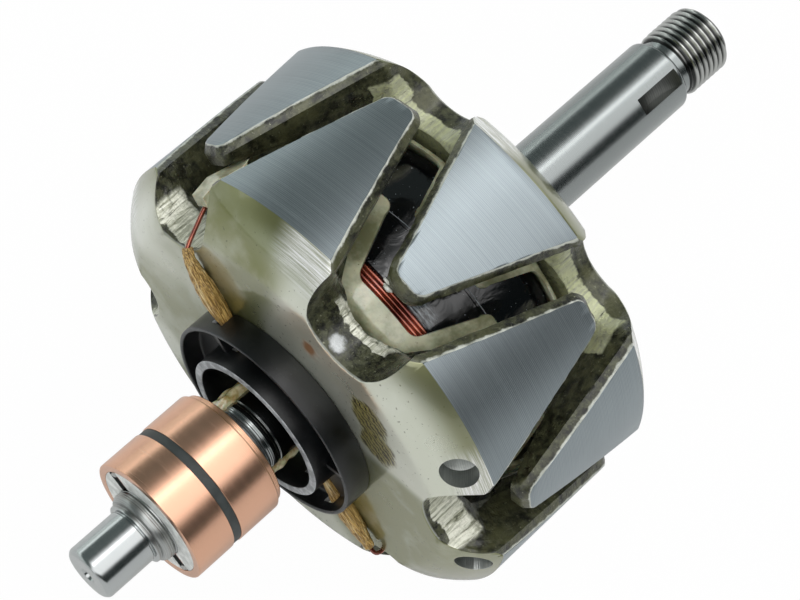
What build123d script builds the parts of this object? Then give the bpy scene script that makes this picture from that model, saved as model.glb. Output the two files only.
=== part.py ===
from build123d import *
from math import cos, hypot, radians, sin, sqrt, tan
import os

os.makedirs("parts", exist_ok=True)

# Rotor of a twelve-pole claw-pole alternator, in millimetres.
# The shaft lies along Y. The origin is on its axis where the drive-end bearing stops against
# the drive pole half, and +Y points out through the pulley seat and the thread.
# An angle is turned about Y from +X towards +Z.

# Lengths along the shaft, from the slip-ring end to the thread
journal_length = 12.0
collar_length = 3.8
outer_ring_length = 9.25
ring_gap = 1.87
inner_ring_length = 10.0
back_step_length = 1.35
neck_length = 14.0
pole_pack_length = 54.9
seat_length = 58.4
undercut_length = 2.5
thread_length = 12.3

# Shaft
journal_radius = 6.0
neck_radius = 8.0
pole_seat_radius = 9.0
seat_radius = 8.5
undercut_radius = 6.9
thread_radius = 8.0
thread_pitch = 1.5
thread_depth = 0.75
end_chamfer = 0.73
thread_chamfer = 0.7
centre_radius = 1.7
centre_drill_radius = 0.8
centre_depth = 4.5
key_angle = 45.5
key_width = 4.0
key_cutter_radius = 6.5
key_depth = 3.8
key_end_gap = 0.7
lead_groove_width = 3.0
lead_groove_depth = 2.0

# Pole halves
body_radius = 52.7
claw_count = 6
slip_claw_angle = 38.6
claw_root_depth = 11.7
claw_root_rise = 2.6
claw_root_blend = 2.4
claw_tip_thickness = 4.0
notch_radius = 10.5
notch_centre_inset = 3.7
flank_chamfer_across = 1.3
flank_chamfer_deep = 1.6
flank_draft = 24.0
tip_round = 3.6
face_inset = 10.7
corner_bulge = 0.95
slip_plate_thickness = 8.4
slip_claw_length = 42.8
slip_ground_start = 7.7
slip_root_half_width = 14.84
slip_tip_half_width = 3.07
drive_plate_thickness = 7.6
drive_claw_length = 41.2
drive_ground_start = 7.4
drive_root_half_width = 14.28
drive_tip_half_width = 2.67
balance_hole_radius = 3.75
balance_hole_depth = 5.0
balance_hole_inset = 3.6
balance_hole_axial = 3.8
balance_hole_spread = 19.2

# Field coil and its insulating former
core_radius = 27.0
core_chamfer = 0.5
former_wall = 1.0
former_sheet = 0.9
former_bend = 1.8
former_bend_deep = 1.08
collar_slope = 13.0
leaf_slope = 20.5
leaf_round = 2.2
valley_round = 2.2
slip_dish = 1.5
slip_rim_inset = 16.3
slip_collar_length = 4.9
slip_leaf_length = 13.7
slip_leaf_root_half_gap = 7.8
slip_leaf_end_half_gap = 13.1
drive_dish = 0.9
drive_rim_inset = 15.3
drive_collar_length = 1.9
drive_leaf_length = 14.1
drive_leaf_root_half_gap = 5.8
drive_leaf_end_half_gap = 11.9
nub_width = 1.8
nub_height = 1.0
winding_inset = 19.7
turn_pitch = 0.95
turn_rise = 0.42
turn_flat = 0.3
bare_turns = 5
wrap_setback = 8.9
wrap_thickness = 0.7
lead_window = 2.6

# Slip rings and their insulating carrier
ring_radius = 14.2
ring_thickness = 1.8
ring_chamfer = 0.25
band_radius = 14.0
back_step_radius = 13.3
front_slot_depth = 1.6
solder_width = 2.4
solder_height = 1.4
solder_round = 0.3
strip_width = 2.6
strip_thickness = 0.8
strip_reach = 12.6
strip_foot = 1.5

# Lead cup on the slip-side pole face
cup_radius = 23.73
cup_wall = 0.9
cup_height = 6.2
cup_floor = 1.5
cup_hub_radius = 17.03
cup_hub_wall = 1.9
cup_hub_height = 8.2
cup_rib_width = 1.2
cup_rib_drop = 1.3
cup_rib_count = 3
cup_slot_height = 3.8

# Leads from the coil to the slip rings
wire_radius = 0.475
bend_radius = 1.2
sleeve_radius = 1.55
sleeve_bore = 0.6
sleeve_inner_end = 18.2
start_sleeve_setback = 1.4
finish_sleeve_setback = 2.8
lead_clearance = 0.625
lead_turn_radius = 14.0
lead_rise = 13.0
start_coil_angle = 134.0
start_face_angle = 125.0
start_groove_angle = 140.0
finish_coil_angle = -50.0
finish_face_angle = -46.5
finish_groove_angle = -40.0
resin_setback = 4.2

# Clearances that keep neighbours apart
press_gap = 0.02
seat_gap = 0.05
former_gap = 0.3
slot_gap = 0.25

# Stations along Y
slip_face = -pole_pack_length
carrier_back = slip_face - neck_length
inner_ring_back = carrier_back - back_step_length
inner_ring_front = inner_ring_back - inner_ring_length
outer_ring_back = inner_ring_front - ring_gap
carrier_front = outer_ring_back - outer_ring_length
collar_front = carrier_front - collar_length
slip_end = collar_front - journal_length
undercut_end = seat_length + undercut_length
drive_end = undercut_end + thread_length

claw_pitch = 360 / claw_count
half_pitch = radians(claw_pitch / 2)
drive_claw_angle = slip_claw_angle - claw_pitch / 2
ring_bore = ring_radius - ring_thickness

# Radii that follow the ground outside
claw_root_radius = body_radius - claw_root_depth
notch_centre_radius = body_radius - notch_centre_inset
face_radius = body_radius - face_inset
slip_rim_radius = body_radius - slip_rim_inset
drive_rim_radius = body_radius - drive_rim_inset
winding_radius = body_radius - winding_inset
lead_height = notch_centre_radius - notch_radius + lead_clearance + wire_radius


def at(radius, angle, y):
    """Point at a radius and an angle about the shaft."""
    return (radius * cos(radians(angle)), y, radius * sin(radians(angle)))


def crosswise(radius, angle):
    """Point at a radius and an angle, in a sketch across the shaft."""
    return (radius * cos(radians(angle)), radius * sin(radians(angle)))


def facing(radius, angle, y):
    """Plane that looks outwards at a radius and an angle, with its own Y along the shaft."""
    outward = (cos(radians(angle)), 0, sin(radians(angle)))
    across = (sin(radians(angle)), 0, -cos(radians(angle)))
    return Plane(origin=at(radius, angle, y), x_dir=across, z_dir=outward)


def lengthwise(angle):
    """Plane through the shaft's axis at an angle, with its own X outwards and its own Y along the shaft."""
    outward = (cos(radians(angle)), 0, sin(radians(angle)))
    return Plane(origin=(0, 0, 0), x_dir=outward, z_dir=(-sin(radians(angle)), 0, cos(radians(angle))))


def beside_claw(half_width, height):
    """Point beside a claw's centre line, seen from the middle of the gap next to it."""
    radial = height * cos(half_pitch) + half_width * sin(half_pitch)
    across = height * sin(half_pitch) - half_width * cos(half_pitch)
    return (radial, across)


def claw_height(half_width):
    """Height of the ground surface at a distance from the claw's centre line."""
    return sqrt(body_radius**2 - half_width**2)


def half_outline(face, inward, plate_thickness, claw_length, ground_start):
    """Straight part of a pole half's turned outline, from the ground surface to the flat of its face."""
    return (
        (body_radius, face + inward * ground_start),
        (body_radius, face + inward * claw_length),
        (body_radius - claw_tip_thickness, face + inward * claw_length),
        (claw_root_radius, face + inward * (plate_thickness + claw_root_rise)),
        (claw_root_radius - claw_root_rise, face + inward * plate_thickness),
        (pole_seat_radius + press_gap, face + inward * plate_thickness),
        (pole_seat_radius + press_gap, face),
        (face_radius, face),
    )


def corner_middle(face, inward, ground_start):
    """Middle of the bulging corner between a pole half's face and its ground surface."""
    run = body_radius - face_radius
    length = hypot(run, ground_start)
    radial = face_radius + run / 2 + corner_bulge * ground_start / length
    return (radial, face + inward * (ground_start / 2 - corner_bulge * run / length))


def gap_tool(face, inward, plate_thickness, claw_length, ground_start, root_half_width, tip_half_width):
    """Space between two claws of a pole half, centred on +X, with the round notch through the plate."""
    overrun = 1.0
    taper = (root_half_width - tip_half_width) / (claw_length - ground_start)
    outlines = []
    for depth in (ground_start, plate_thickness + claw_root_blend, claw_length + overrun):
        half_width = root_half_width - taper * (depth - ground_start)
        edge_half_width = half_width + flank_chamfer_across
        edge_height = claw_height(half_width) - flank_chamfer_deep
        ground = beside_claw(half_width, claw_height(half_width))
        edge = beside_claw(edge_half_width, edge_height)
        beyond = (2 * ground[0] - edge[0], 2 * ground[1] - edge[1])
        foot_half_width = edge_half_width - (edge_height - claw_root_radius) * tan(radians(flank_draft))
        foot = beside_claw(foot_half_width, claw_root_radius)
        floor = claw_root_radius - claw_root_rise - claw_root_blend / 2
        if depth == ground_start:
            foot = (notch_centre_radius, notch_radius)
            floor = notch_centre_radius - notch_radius
        outlines.append((face + inward * depth, foot, floor, edge, beyond))
    top = body_radius + claw_tip_thickness
    with BuildPart() as tool:
        for run in (outlines[:1], outlines):
            for station, foot, floor, edge, beyond in run:
                with BuildSketch(Plane.XZ.offset(-station)):
                    with BuildLine():
                        ThreePointArc((foot[0], -foot[1]), (floor, 0), foot)
                        Polyline(foot, edge, beyond, (top, beyond[1]), (top, -beyond[1]))
                        Polyline(
                            (top, -beyond[1]),
                            (beyond[0], -beyond[1]),
                            (edge[0], -edge[1]),
                            (foot[0], -foot[1]),
                        )
                    make_face()
            if run == outlines:
                loft(ruled=True)
            else:
                extrude(amount=inward * (ground_start + overrun))
    return tool.part


def tip_tool(face, inward, plate_thickness, claw_length, ground_start, root_half_width, tip_half_width):
    """What is rounded off the two corners of a claw's tip, for a claw that is centred on +X."""
    reach = 6.0
    margin = 8.0
    taper = (root_half_width - tip_half_width) / (claw_length - ground_start)
    tip = face + inward * claw_length
    back = tip - inward * reach
    corner = tip_half_width + flank_chamfer_across + press_gap
    wide = corner + taper * reach
    with BuildPart() as tool:
        with BuildSketch(Plane.YZ.offset(claw_root_radius)):
            with BuildLine():
                FilletPolyline((tip, 0), (tip, corner), (back, wide), radius=tip_round)
                Polyline((back, wide), (back, margin), (tip + inward, margin))
                Polyline((tip + inward, margin), (tip + inward, 0), (tip, 0))
            make_face()
            mirror(about=Plane.XZ)
        extrude(amount=body_radius - claw_root_radius + 1)
    return tool.part


slip_outline = (slip_face, 1, slip_plate_thickness, slip_claw_length, slip_ground_start)
slip_claw = (*slip_outline, slip_root_half_width, slip_tip_half_width)
drive_outline = (0, -1, drive_plate_thickness, drive_claw_length, drive_ground_start)
drive_claw = (*drive_outline, drive_root_half_width, drive_tip_half_width)

# Shaft: journal, neck with two lead grooves, pole seat, drive seat with a half-moon key slot, thread
with BuildPart() as shaft:
    with BuildSketch():
        with BuildLine():
            Polyline(
                (0, slip_end + centre_depth),
                (centre_drill_radius, slip_end + centre_depth - centre_drill_radius),
                (centre_drill_radius, slip_end + centre_radius),
                (centre_radius, slip_end),
                (journal_radius - end_chamfer, slip_end),
                (journal_radius, slip_end + end_chamfer),
                (journal_radius, collar_front),
                (neck_radius, collar_front),
                (neck_radius, slip_face),
                (pole_seat_radius, slip_face),
                (pole_seat_radius, 0),
                (seat_radius, 0),
                (seat_radius, seat_length - end_chamfer),
                (seat_radius - end_chamfer, seat_length),
                (undercut_radius, seat_length),
                (undercut_radius, undercut_end),
                (thread_radius - thread_depth, undercut_end),
                (thread_radius - thread_depth, drive_end - thread_chamfer),
                (thread_radius - thread_chamfer, drive_end),
                (centre_radius, drive_end),
                (centre_drill_radius, drive_end - centre_radius),
                (centre_drill_radius, drive_end - centre_depth + centre_drill_radius),
                (0, drive_end - centre_depth),
                close=True,
            )
        make_face()
    revolve(axis=Axis.Y)
    for turn in range(int((thread_length - thread_chamfer) / thread_pitch)):
        crest = undercut_end + thread_pitch * (turn + 0.5)
        with BuildSketch():
            with BuildLine():
                Polyline(
                    (undercut_radius - 1, crest - thread_pitch / 2),
                    (thread_radius - thread_depth, crest - thread_pitch / 2),
                    (thread_radius, crest - thread_pitch / 10),
                    (thread_radius, crest + thread_pitch / 10),
                    (thread_radius - thread_depth, crest + thread_pitch / 2),
                    (undercut_radius - 1, crest + thread_pitch / 2),
                    close=True,
                )
            make_face()
        revolve(axis=Axis.Y)
    key_centre_radius = seat_radius - key_depth + key_cutter_radius
    key_centre = seat_length - key_end_gap - key_cutter_radius
    with BuildSketch(lengthwise(key_angle)):
        with Locations((key_centre_radius, key_centre)):
            Circle(key_cutter_radius)
    extrude(amount=key_width / 2, both=True, mode=Mode.SUBTRACT)
    groove_length = slip_face - sleeve_radius + wire_radius + slot_gap - carrier_front
    with BuildSketch(
        facing(neck_radius - lead_groove_depth, start_groove_angle, carrier_front),
        facing(neck_radius - lead_groove_depth, finish_groove_angle, carrier_front),
    ):
        Rectangle(lead_groove_width, groove_length, align=(Align.CENTER, Align.MIN))
    extrude(amount=lead_groove_depth + 1, mode=Mode.SUBTRACT)

# Slip-side pole half: plate, six tapering claws, six round notches and two balance drillings
with BuildPart() as pole_slip_end:
    with BuildSketch():
        with BuildLine():
            slip_points = half_outline(*slip_outline)
            Polyline(*slip_points)
            ThreePointArc(slip_points[-1], corner_middle(slip_face, 1, slip_ground_start), slip_points[0])
        make_face()
    revolve(axis=Axis.Y)
    slip_gap = gap_tool(*slip_claw)
    slip_tip = tip_tool(*slip_claw)
    for claw in range(claw_count):
        claw_turn = slip_claw_angle + claw * claw_pitch
        add(slip_gap.rotate(Axis.Y, -(claw_turn + claw_pitch / 2)), mode=Mode.SUBTRACT)
        add(slip_tip.rotate(Axis.Y, -claw_turn), mode=Mode.SUBTRACT)
    for side in (-1, 1):
        drill_angle = drive_claw_angle + side * balance_hole_spread
        drill_way = (cos(radians(drill_angle)), -1, sin(radians(drill_angle)))
        drill_mouth = at(body_radius - balance_hole_inset, drill_angle, slip_face + balance_hole_axial)
        with BuildSketch(Plane(origin=drill_mouth, z_dir=drill_way).offset(balance_hole_radius)):
            Circle(balance_hole_radius)
        extrude(amount=-(balance_hole_radius + balance_hole_depth), mode=Mode.SUBTRACT)

# Drive-side pole half: the same forging turned half a pitch
with BuildPart() as pole_drive_end:
    with BuildSketch():
        with BuildLine():
            drive_points = half_outline(*drive_outline)
            Polyline(*drive_points)
            ThreePointArc(drive_points[-1], corner_middle(0, -1, drive_ground_start), drive_points[0])
        make_face()
    revolve(axis=Axis.Y)
    drive_gap = gap_tool(*drive_claw)
    drive_tip = tip_tool(*drive_claw)
    for claw in range(claw_count):
        claw_turn = drive_claw_angle + claw * claw_pitch
        add(drive_gap.rotate(Axis.Y, -(claw_turn + claw_pitch / 2)), mode=Mode.SUBTRACT)
        add(drive_tip.rotate(Axis.Y, -claw_turn), mode=Mode.SUBTRACT)

# Iron core between the two plates
core_front = slip_face + slip_plate_thickness + press_gap
core_back = -drive_plate_thickness - press_gap
with BuildPart() as pole_core:
    with BuildSketch(Plane.XZ.offset(-core_back)):
        Circle(core_radius)
        Circle(pole_seat_radius + press_gap, mode=Mode.SUBTRACT)
    extrude(amount=core_back - core_front)
    chamfer(pole_core.edges().filter_by(GeomType.CIRCLE).group_by(SortBy.RADIUS)[-1], core_chamfer)

# Insulating former: barrel, two dished flanges and a leaf under every claw.
# The slip-side flange is turned over into a broad collar, the drive-side one into a narrow rim.
former_front = core_front + former_gap
former_back = core_back - former_gap
former_bore = core_radius + press_gap
barrel_radius = former_bore + former_wall
slip_leaf = (slip_leaf_length, slip_leaf_root_half_gap, slip_leaf_end_half_gap, slip_claw_angle)
drive_leaf = (drive_leaf_length, drive_leaf_root_half_gap, drive_leaf_end_half_gap, drive_claw_angle)
slip_flange = (former_front, 1, slip_dish, slip_rim_radius, slip_collar_length, slip_leaf)
drive_flange = (former_back, -1, drive_dish, drive_rim_radius, drive_collar_length, drive_leaf)
with BuildPart() as coil_former:
    for flange, into, dish, rim_radius, collar_length, leaf in (slip_flange, drive_flange):
        leaf_length = leaf[0]
        bend_radial = rim_radius - former_bend
        bend_back = flange + into * (dish + former_bend_deep)
        collar_back = flange + into * (dish + collar_length)
        collar_radius = rim_radius + (collar_length - former_bend_deep) * tan(radians(collar_slope))
        leaf_back = collar_back + into * leaf_length
        leaf_radius = collar_radius + leaf_length * tan(radians(leaf_slope))
        with BuildSketch():
            with BuildLine():
                Polyline(
                    (former_bore, flange),
                    (barrel_radius + former_wall, flange),
                    (bend_radial, flange + into * dish),
                    (rim_radius, bend_back),
                    (collar_radius, collar_back),
                    (leaf_radius, leaf_back),
                    (leaf_radius - former_sheet, leaf_back),
                    (collar_radius - former_sheet, collar_back),
                    (rim_radius - former_sheet, bend_back + into * former_sheet / 2),
                    (bend_radial - former_sheet / 2, flange + into * (dish + former_sheet)),
                    (barrel_radius + former_wall, flange + into * former_sheet),
                    (former_bore, flange + into * former_sheet),
                    close=True,
                )
            make_face()
        revolve(axis=Axis.Y)
    with BuildSketch(Plane.XZ.offset(-former_back)):
        Circle(barrel_radius)
        Circle(former_bore, mode=Mode.SUBTRACT)
    extrude(amount=former_back - former_front)
    for flange, into, dish, rim_radius, collar_length, leaf in (slip_flange, drive_flange):
        leaf_length, root_half_gap, end_half_gap, leaf_angle = leaf
        foot = flange + into * (dish + collar_length)
        top = foot + into * leaf_length
        shoulder = top - into * leaf_round
        outer_half_gap = end_half_gap + leaf_round
        arc_inset = leaf_round * (1 - sqrt(0.5))
        gap_angles = [leaf_angle + (claw + 0.5) * claw_pitch for claw in range(claw_count)]
        windows = [facing(core_radius, angle, 0) for angle in gap_angles]
        with BuildSketch(*windows):
            with BuildLine():
                FilletPolyline(
                    (end_half_gap, shoulder),
                    (root_half_gap, foot),
                    (-root_half_gap, foot),
                    (-end_half_gap, shoulder),
                    radius=valley_round,
                )
                ThreePointArc(
                    (-end_half_gap, shoulder),
                    (-end_half_gap - arc_inset, top - into * arc_inset),
                    (-outer_half_gap, top),
                )
                Polyline(
                    (-outer_half_gap, top),
                    (-outer_half_gap, top + into),
                    (outer_half_gap, top + into),
                    (outer_half_gap, top),
                )
                ThreePointArc(
                    (outer_half_gap, top),
                    (end_half_gap + arc_inset, top - into * arc_inset),
                    (end_half_gap, shoulder),
                )
            make_face()
        extrude(amount=body_radius - core_radius, mode=Mode.SUBTRACT)
        nub_middle = flange + into * (dish + former_bend_deep + former_sheet / 2)
        with BuildSketch(*[facing(rim_radius - former_sheet / 2, angle, nub_middle) for angle in gap_angles]):
            Rectangle(nub_width, former_sheet)
        extrude(amount=former_sheet / 2 + nub_height)
    with BuildSketch(
        facing(winding_radius, start_coil_angle, slip_face + lead_rise),
        facing(winding_radius, finish_coil_angle, slip_face + lead_rise),
    ):
        Rectangle(lead_window, lead_window)
    extrude(amount=body_radius - winding_radius, mode=Mode.SUBTRACT)

# Field winding: the bare turns next to the wrap stand out as ridges
winding_front = former_front + slip_dish + former_sheet + press_gap
winding_back = former_back - drive_dish - former_sheet - press_gap
wrap_front = winding_front + wrap_setback
bare_front = wrap_front - bare_turns * turn_pitch
with BuildPart() as field_winding:
    with BuildSketch():
        with BuildLine():
            for turn in range(bare_turns):
                turn_middle = bare_front + turn_pitch * (turn + 0.5)
                Polyline(
                    (winding_radius, turn_middle - turn_pitch / 2),
                    (winding_radius + turn_rise, turn_middle - turn_flat / 2),
                    (winding_radius + turn_rise, turn_middle + turn_flat / 2),
                    (winding_radius, turn_middle + turn_pitch / 2),
                )
            Polyline(
                (winding_radius, wrap_front),
                (winding_radius, winding_back),
                (barrel_radius + press_gap, winding_back),
                (barrel_radius + press_gap, winding_front),
                (winding_radius, winding_front),
                (winding_radius, bare_front),
            )
        make_face()
    revolve(axis=Axis.Y)

# Insulating wrap over the rest of the coil
with BuildPart() as coil_wrap:
    with BuildSketch(Plane.XZ.offset(-winding_back)):
        Circle(winding_radius + press_gap + wrap_thickness)
        Circle(winding_radius + press_gap, mode=Mode.SUBTRACT)
    extrude(amount=winding_back - wrap_front - press_gap)

# Insulating carrier of the slip rings, with two lead slots in its front
strip_front = carrier_front + front_slot_depth
strip_inner_radius = ring_bore - strip_thickness - solder_height / 2
with BuildPart() as slip_ring_carrier:
    with BuildSketch():
        with BuildLine():
            Polyline(
                (neck_radius + press_gap, carrier_front),
                (ring_bore, carrier_front),
                (ring_bore, outer_ring_back),
                (band_radius, outer_ring_back),
                (band_radius, inner_ring_front),
                (ring_bore, inner_ring_front),
                (ring_bore, carrier_back),
                (neck_radius + press_gap, carrier_back),
                close=True,
            )
        make_face()
    revolve(axis=Axis.Y)
    with BuildSketch(
        facing(neck_radius - 1, start_groove_angle, carrier_front),
        facing(neck_radius - 1, finish_groove_angle, carrier_front),
    ):
        Rectangle(lead_groove_width, 2 * front_slot_depth)
    extrude(amount=ring_radius - neck_radius + 1, mode=Mode.SUBTRACT)
    with BuildSketch(facing(strip_inner_radius - press_gap, finish_groove_angle, strip_front)):
        Rectangle(strip_width + 2 * press_gap, strip_reach + press_gap, align=(Align.CENTER, Align.MIN))
    extrude(amount=strip_thickness + 2 * press_gap, mode=Mode.SUBTRACT)
    with BuildSketch(facing(strip_inner_radius, finish_groove_angle, strip_front + strip_reach + press_gap)):
        Rectangle(strip_width + 2 * press_gap, strip_foot + 2 * press_gap, align=(Align.CENTER, Align.MAX))
    extrude(amount=ring_radius - strip_inner_radius, mode=Mode.SUBTRACT)

# The two copper slip rings
with BuildPart() as slip_ring_outer:
    with BuildSketch(Plane.XZ.offset(-outer_ring_back + press_gap)):
        Circle(ring_radius)
        Circle(ring_bore + press_gap, mode=Mode.SUBTRACT)
    extrude(amount=outer_ring_length - press_gap)
    chamfer(slip_ring_outer.edges().filter_by(GeomType.CIRCLE).group_by(SortBy.RADIUS)[-1], ring_chamfer)

with BuildPart() as slip_ring_inner:
    with BuildSketch(Plane.XZ.offset(-carrier_back)):
        Circle(back_step_radius)
        Circle(ring_bore + press_gap, mode=Mode.SUBTRACT)
    extrude(amount=back_step_length + inner_ring_length - press_gap)
    with BuildSketch(Plane.XZ.offset(-inner_ring_back)):
        Circle(ring_radius)
        Circle(ring_bore + press_gap, mode=Mode.SUBTRACT)
    extrude(amount=inner_ring_length - press_gap)
    chamfer(slip_ring_inner.edges().filter_by(GeomType.CIRCLE).group_by(SortBy.RADIUS)[-1], ring_chamfer)

# Copper strip that runs under the outer ring to the inner ring
with BuildPart() as ring_strip:
    with BuildSketch(facing(strip_inner_radius, finish_groove_angle, strip_front)):
        Rectangle(strip_width, strip_reach, align=(Align.CENTER, Align.MIN))
    extrude(amount=strip_thickness)
    with BuildSketch(facing(strip_inner_radius, finish_groove_angle, strip_front + strip_reach)):
        Rectangle(strip_width, strip_foot, align=(Align.CENTER, Align.MAX))
    extrude(amount=sqrt(ring_bore**2 - (strip_width / 2) ** 2) - strip_inner_radius)

# Black plastic cup that guides the two leads across the pole face
cup_base = slip_face - seat_gap
with BuildPart() as lead_cup:
    with BuildSketch():
        with BuildLine():
            Polyline(
                (cup_hub_radius - cup_hub_wall, cup_base),
                (cup_radius, cup_base),
                (cup_radius, slip_face - cup_height),
                (cup_radius - cup_wall, slip_face - cup_height),
                (cup_radius - cup_wall, cup_base - cup_floor),
                (cup_hub_radius, cup_base - cup_floor),
                (cup_hub_radius, slip_face - cup_hub_height),
                (cup_hub_radius - cup_hub_wall, slip_face - cup_hub_height),
                close=True,
            )
        make_face()
    revolve(axis=Axis.Y)
    rib_start = cup_hub_radius - cup_hub_wall / 2
    rib_angles = [drive_claw_angle + rib * 360 / cup_rib_count for rib in range(cup_rib_count)]
    with BuildSketch(*[facing(rib_start, angle, cup_base) for angle in rib_angles]):
        Rectangle(cup_rib_width, cup_height - cup_rib_drop, align=(Align.CENTER, Align.MAX))
    extrude(amount=cup_radius - cup_wall / 2 - rib_start)
    with BuildSketch(
        facing(lead_turn_radius, start_face_angle, cup_base),
        facing(lead_turn_radius, finish_face_angle, cup_base),
    ):
        Rectangle(2 * sleeve_radius + 2 * slot_gap, 2 * cup_slot_height)
    extrude(amount=cup_radius - lead_turn_radius + 1, mode=Mode.SUBTRACT)

# The two leads: up from the coil, along a notch, across the pole face and along the neck to the rings
lead_plane = slip_face - seat_gap - sleeve_radius
lead_front = carrier_front + front_slot_depth / 2
wire_in_groove = neck_radius - lead_groove_depth / 2
solder_top = sqrt(ring_bore**2 - (solder_width / 2) ** 2)
solder_foot = solder_top - solder_height
wire_end = solder_foot - press_gap
coil_touch = winding_radius + turn_rise + press_gap
start_points = (
    at(coil_touch, start_coil_angle, slip_face + lead_rise),
    at(lead_height, start_coil_angle, slip_face + lead_rise),
    at(lead_height, start_face_angle, lead_plane),
    at(lead_turn_radius, start_face_angle, lead_plane),
    at(wire_in_groove, start_groove_angle, lead_plane),
    at(wire_in_groove, start_groove_angle, lead_front),
    at(wire_end, start_groove_angle, lead_front),
)
finish_points = (
    at(coil_touch, finish_coil_angle, slip_face + lead_rise),
    at(lead_height, finish_coil_angle, slip_face + lead_rise),
    at(lead_height, finish_face_angle, lead_plane),
    at(lead_turn_radius, finish_face_angle, lead_plane),
    at(wire_in_groove, finish_groove_angle, lead_plane),
    at(wire_in_groove, finish_groove_angle, lead_front),
    at(wire_end, finish_groove_angle, lead_front),
)

with BuildPart() as lead_start:
    with BuildLine() as start_path:
        FilletPolyline(*start_points, radius=bend_radius)
    with BuildSketch(Plane(origin=start_path.line @ 0, z_dir=start_path.line % 0)):
        Circle(wire_radius)
    sweep()

with BuildPart() as lead_finish:
    with BuildLine() as finish_path:
        FilletPolyline(*finish_points, radius=bend_radius)
    with BuildSketch(Plane(origin=finish_path.line @ 0, z_dir=finish_path.line % 0)):
        Circle(wire_radius)
    sweep()

# Woven sleeves over the leads where they cross the pole face
with BuildPart() as sleeve_start:
    with BuildSketch(facing(sleeve_inner_end, start_face_angle, lead_plane)):
        Circle(sleeve_radius)
        Circle(sleeve_bore, mode=Mode.SUBTRACT)
    extrude(amount=lead_height - start_sleeve_setback - sleeve_inner_end)

with BuildPart() as sleeve_finish:
    with BuildSketch(facing(sleeve_inner_end, finish_face_angle, lead_plane)):
        Circle(sleeve_radius)
        Circle(sleeve_bore, mode=Mode.SUBTRACT)
    extrude(amount=lead_height - finish_sleeve_setback - sleeve_inner_end)

# Resin that fills the neck grooves over the leads
resin_length = neck_length - resin_setback
resin_floor = neck_radius - lead_groove_depth + press_gap
resin_front = carrier_back + press_gap
with BuildPart() as channel_resin_start:
    with BuildSketch(facing(resin_floor, start_groove_angle, resin_front)):
        Rectangle(lead_groove_width - 2 * press_gap, resin_length, align=(Align.CENTER, Align.MIN))
    extrude(amount=lead_groove_depth)
    with BuildSketch(Plane.XZ.offset(-carrier_back)):
        with Locations(crosswise(wire_in_groove, start_groove_angle)):
            Circle(wire_radius + press_gap)
    extrude(amount=-neck_length, mode=Mode.SUBTRACT)

with BuildPart() as channel_resin_finish:
    with BuildSketch(facing(resin_floor, finish_groove_angle, resin_front)):
        Rectangle(lead_groove_width - 2 * press_gap, resin_length, align=(Align.CENTER, Align.MIN))
    extrude(amount=lead_groove_depth)
    with BuildSketch(Plane.XZ.offset(-carrier_back)):
        with Locations(crosswise(wire_in_groove, finish_groove_angle)):
            Circle(wire_radius + press_gap)
    extrude(amount=-neck_length, mode=Mode.SUBTRACT)

# Solder between each lead and its ring or strip
with BuildPart() as solder_outer:
    with BuildSketch(facing(solder_foot, start_groove_angle, lead_front)):
        RectangleRounded(solder_width, front_slot_depth - 2 * press_gap, solder_round)
    extrude(amount=solder_height)

with BuildPart() as solder_inner:
    with BuildSketch(facing(solder_foot, finish_groove_angle, lead_front)):
        RectangleRounded(solder_width, front_slot_depth - 2 * press_gap, solder_round)
    extrude(amount=strip_inner_radius + strip_thickness - solder_foot)

shaft.part.label = "shaft"
export_step(shaft.part, "parts/shaft.step")
pole_slip_end.part.label = "pole_slip_end"
export_step(pole_slip_end.part, "parts/pole_slip_end.step")
pole_drive_end.part.label = "pole_drive_end"
export_step(pole_drive_end.part, "parts/pole_drive_end.step")
pole_core.part.label = "pole_core"
export_step(pole_core.part, "parts/pole_core.step")
coil_former.part.label = "coil_former"
export_step(coil_former.part, "parts/coil_former.step")
field_winding.part.label = "field_winding"
export_step(field_winding.part, "parts/field_winding.step")
coil_wrap.part.label = "coil_wrap"
export_step(coil_wrap.part, "parts/coil_wrap.step")
slip_ring_carrier.part.label = "slip_ring_carrier"
export_step(slip_ring_carrier.part, "parts/slip_ring_carrier.step")
slip_ring_outer.part.label = "slip_ring_outer"
export_step(slip_ring_outer.part, "parts/slip_ring_outer.step")
slip_ring_inner.part.label = "slip_ring_inner"
export_step(slip_ring_inner.part, "parts/slip_ring_inner.step")
ring_strip.part.label = "ring_strip"
export_step(ring_strip.part, "parts/ring_strip.step")
lead_cup.part.label = "lead_cup"
export_step(lead_cup.part, "parts/lead_cup.step")
lead_start.part.label = "lead_start"
export_step(lead_start.part, "parts/lead_start.step")
lead_finish.part.label = "lead_finish"
export_step(lead_finish.part, "parts/lead_finish.step")
sleeve_start.part.label = "sleeve_start"
export_step(sleeve_start.part, "parts/sleeve_start.step")
sleeve_finish.part.label = "sleeve_finish"
export_step(sleeve_finish.part, "parts/sleeve_finish.step")
channel_resin_start.part.label = "channel_resin_start"
export_step(channel_resin_start.part, "parts/channel_resin_start.step")
channel_resin_finish.part.label = "channel_resin_finish"
export_step(channel_resin_finish.part, "parts/channel_resin_finish.step")
solder_outer.part.label = "solder_outer"
export_step(solder_outer.part, "parts/solder_outer.step")
solder_inner.part.label = "solder_inner"
export_step(solder_inner.part, "parts/solder_inner.step")
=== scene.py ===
# %% [markdown]
# # The rotor of a claw-pole alternator
# This lesson dresses a machined part in its real surfaces. The plain solids come in first as a fixed
# frame, and every visible piece is then built again over them with rounded edges and a procedural
# material. All sizes below are real millimetres, turned to metres at the last moment.

# %% The frame
from math import atan2, cos, degrees, hypot, pi, radians, sin, sqrt, tan

import bmesh
import bpy
import numpy as np
from mathutils import Matrix, Vector, noise


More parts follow.
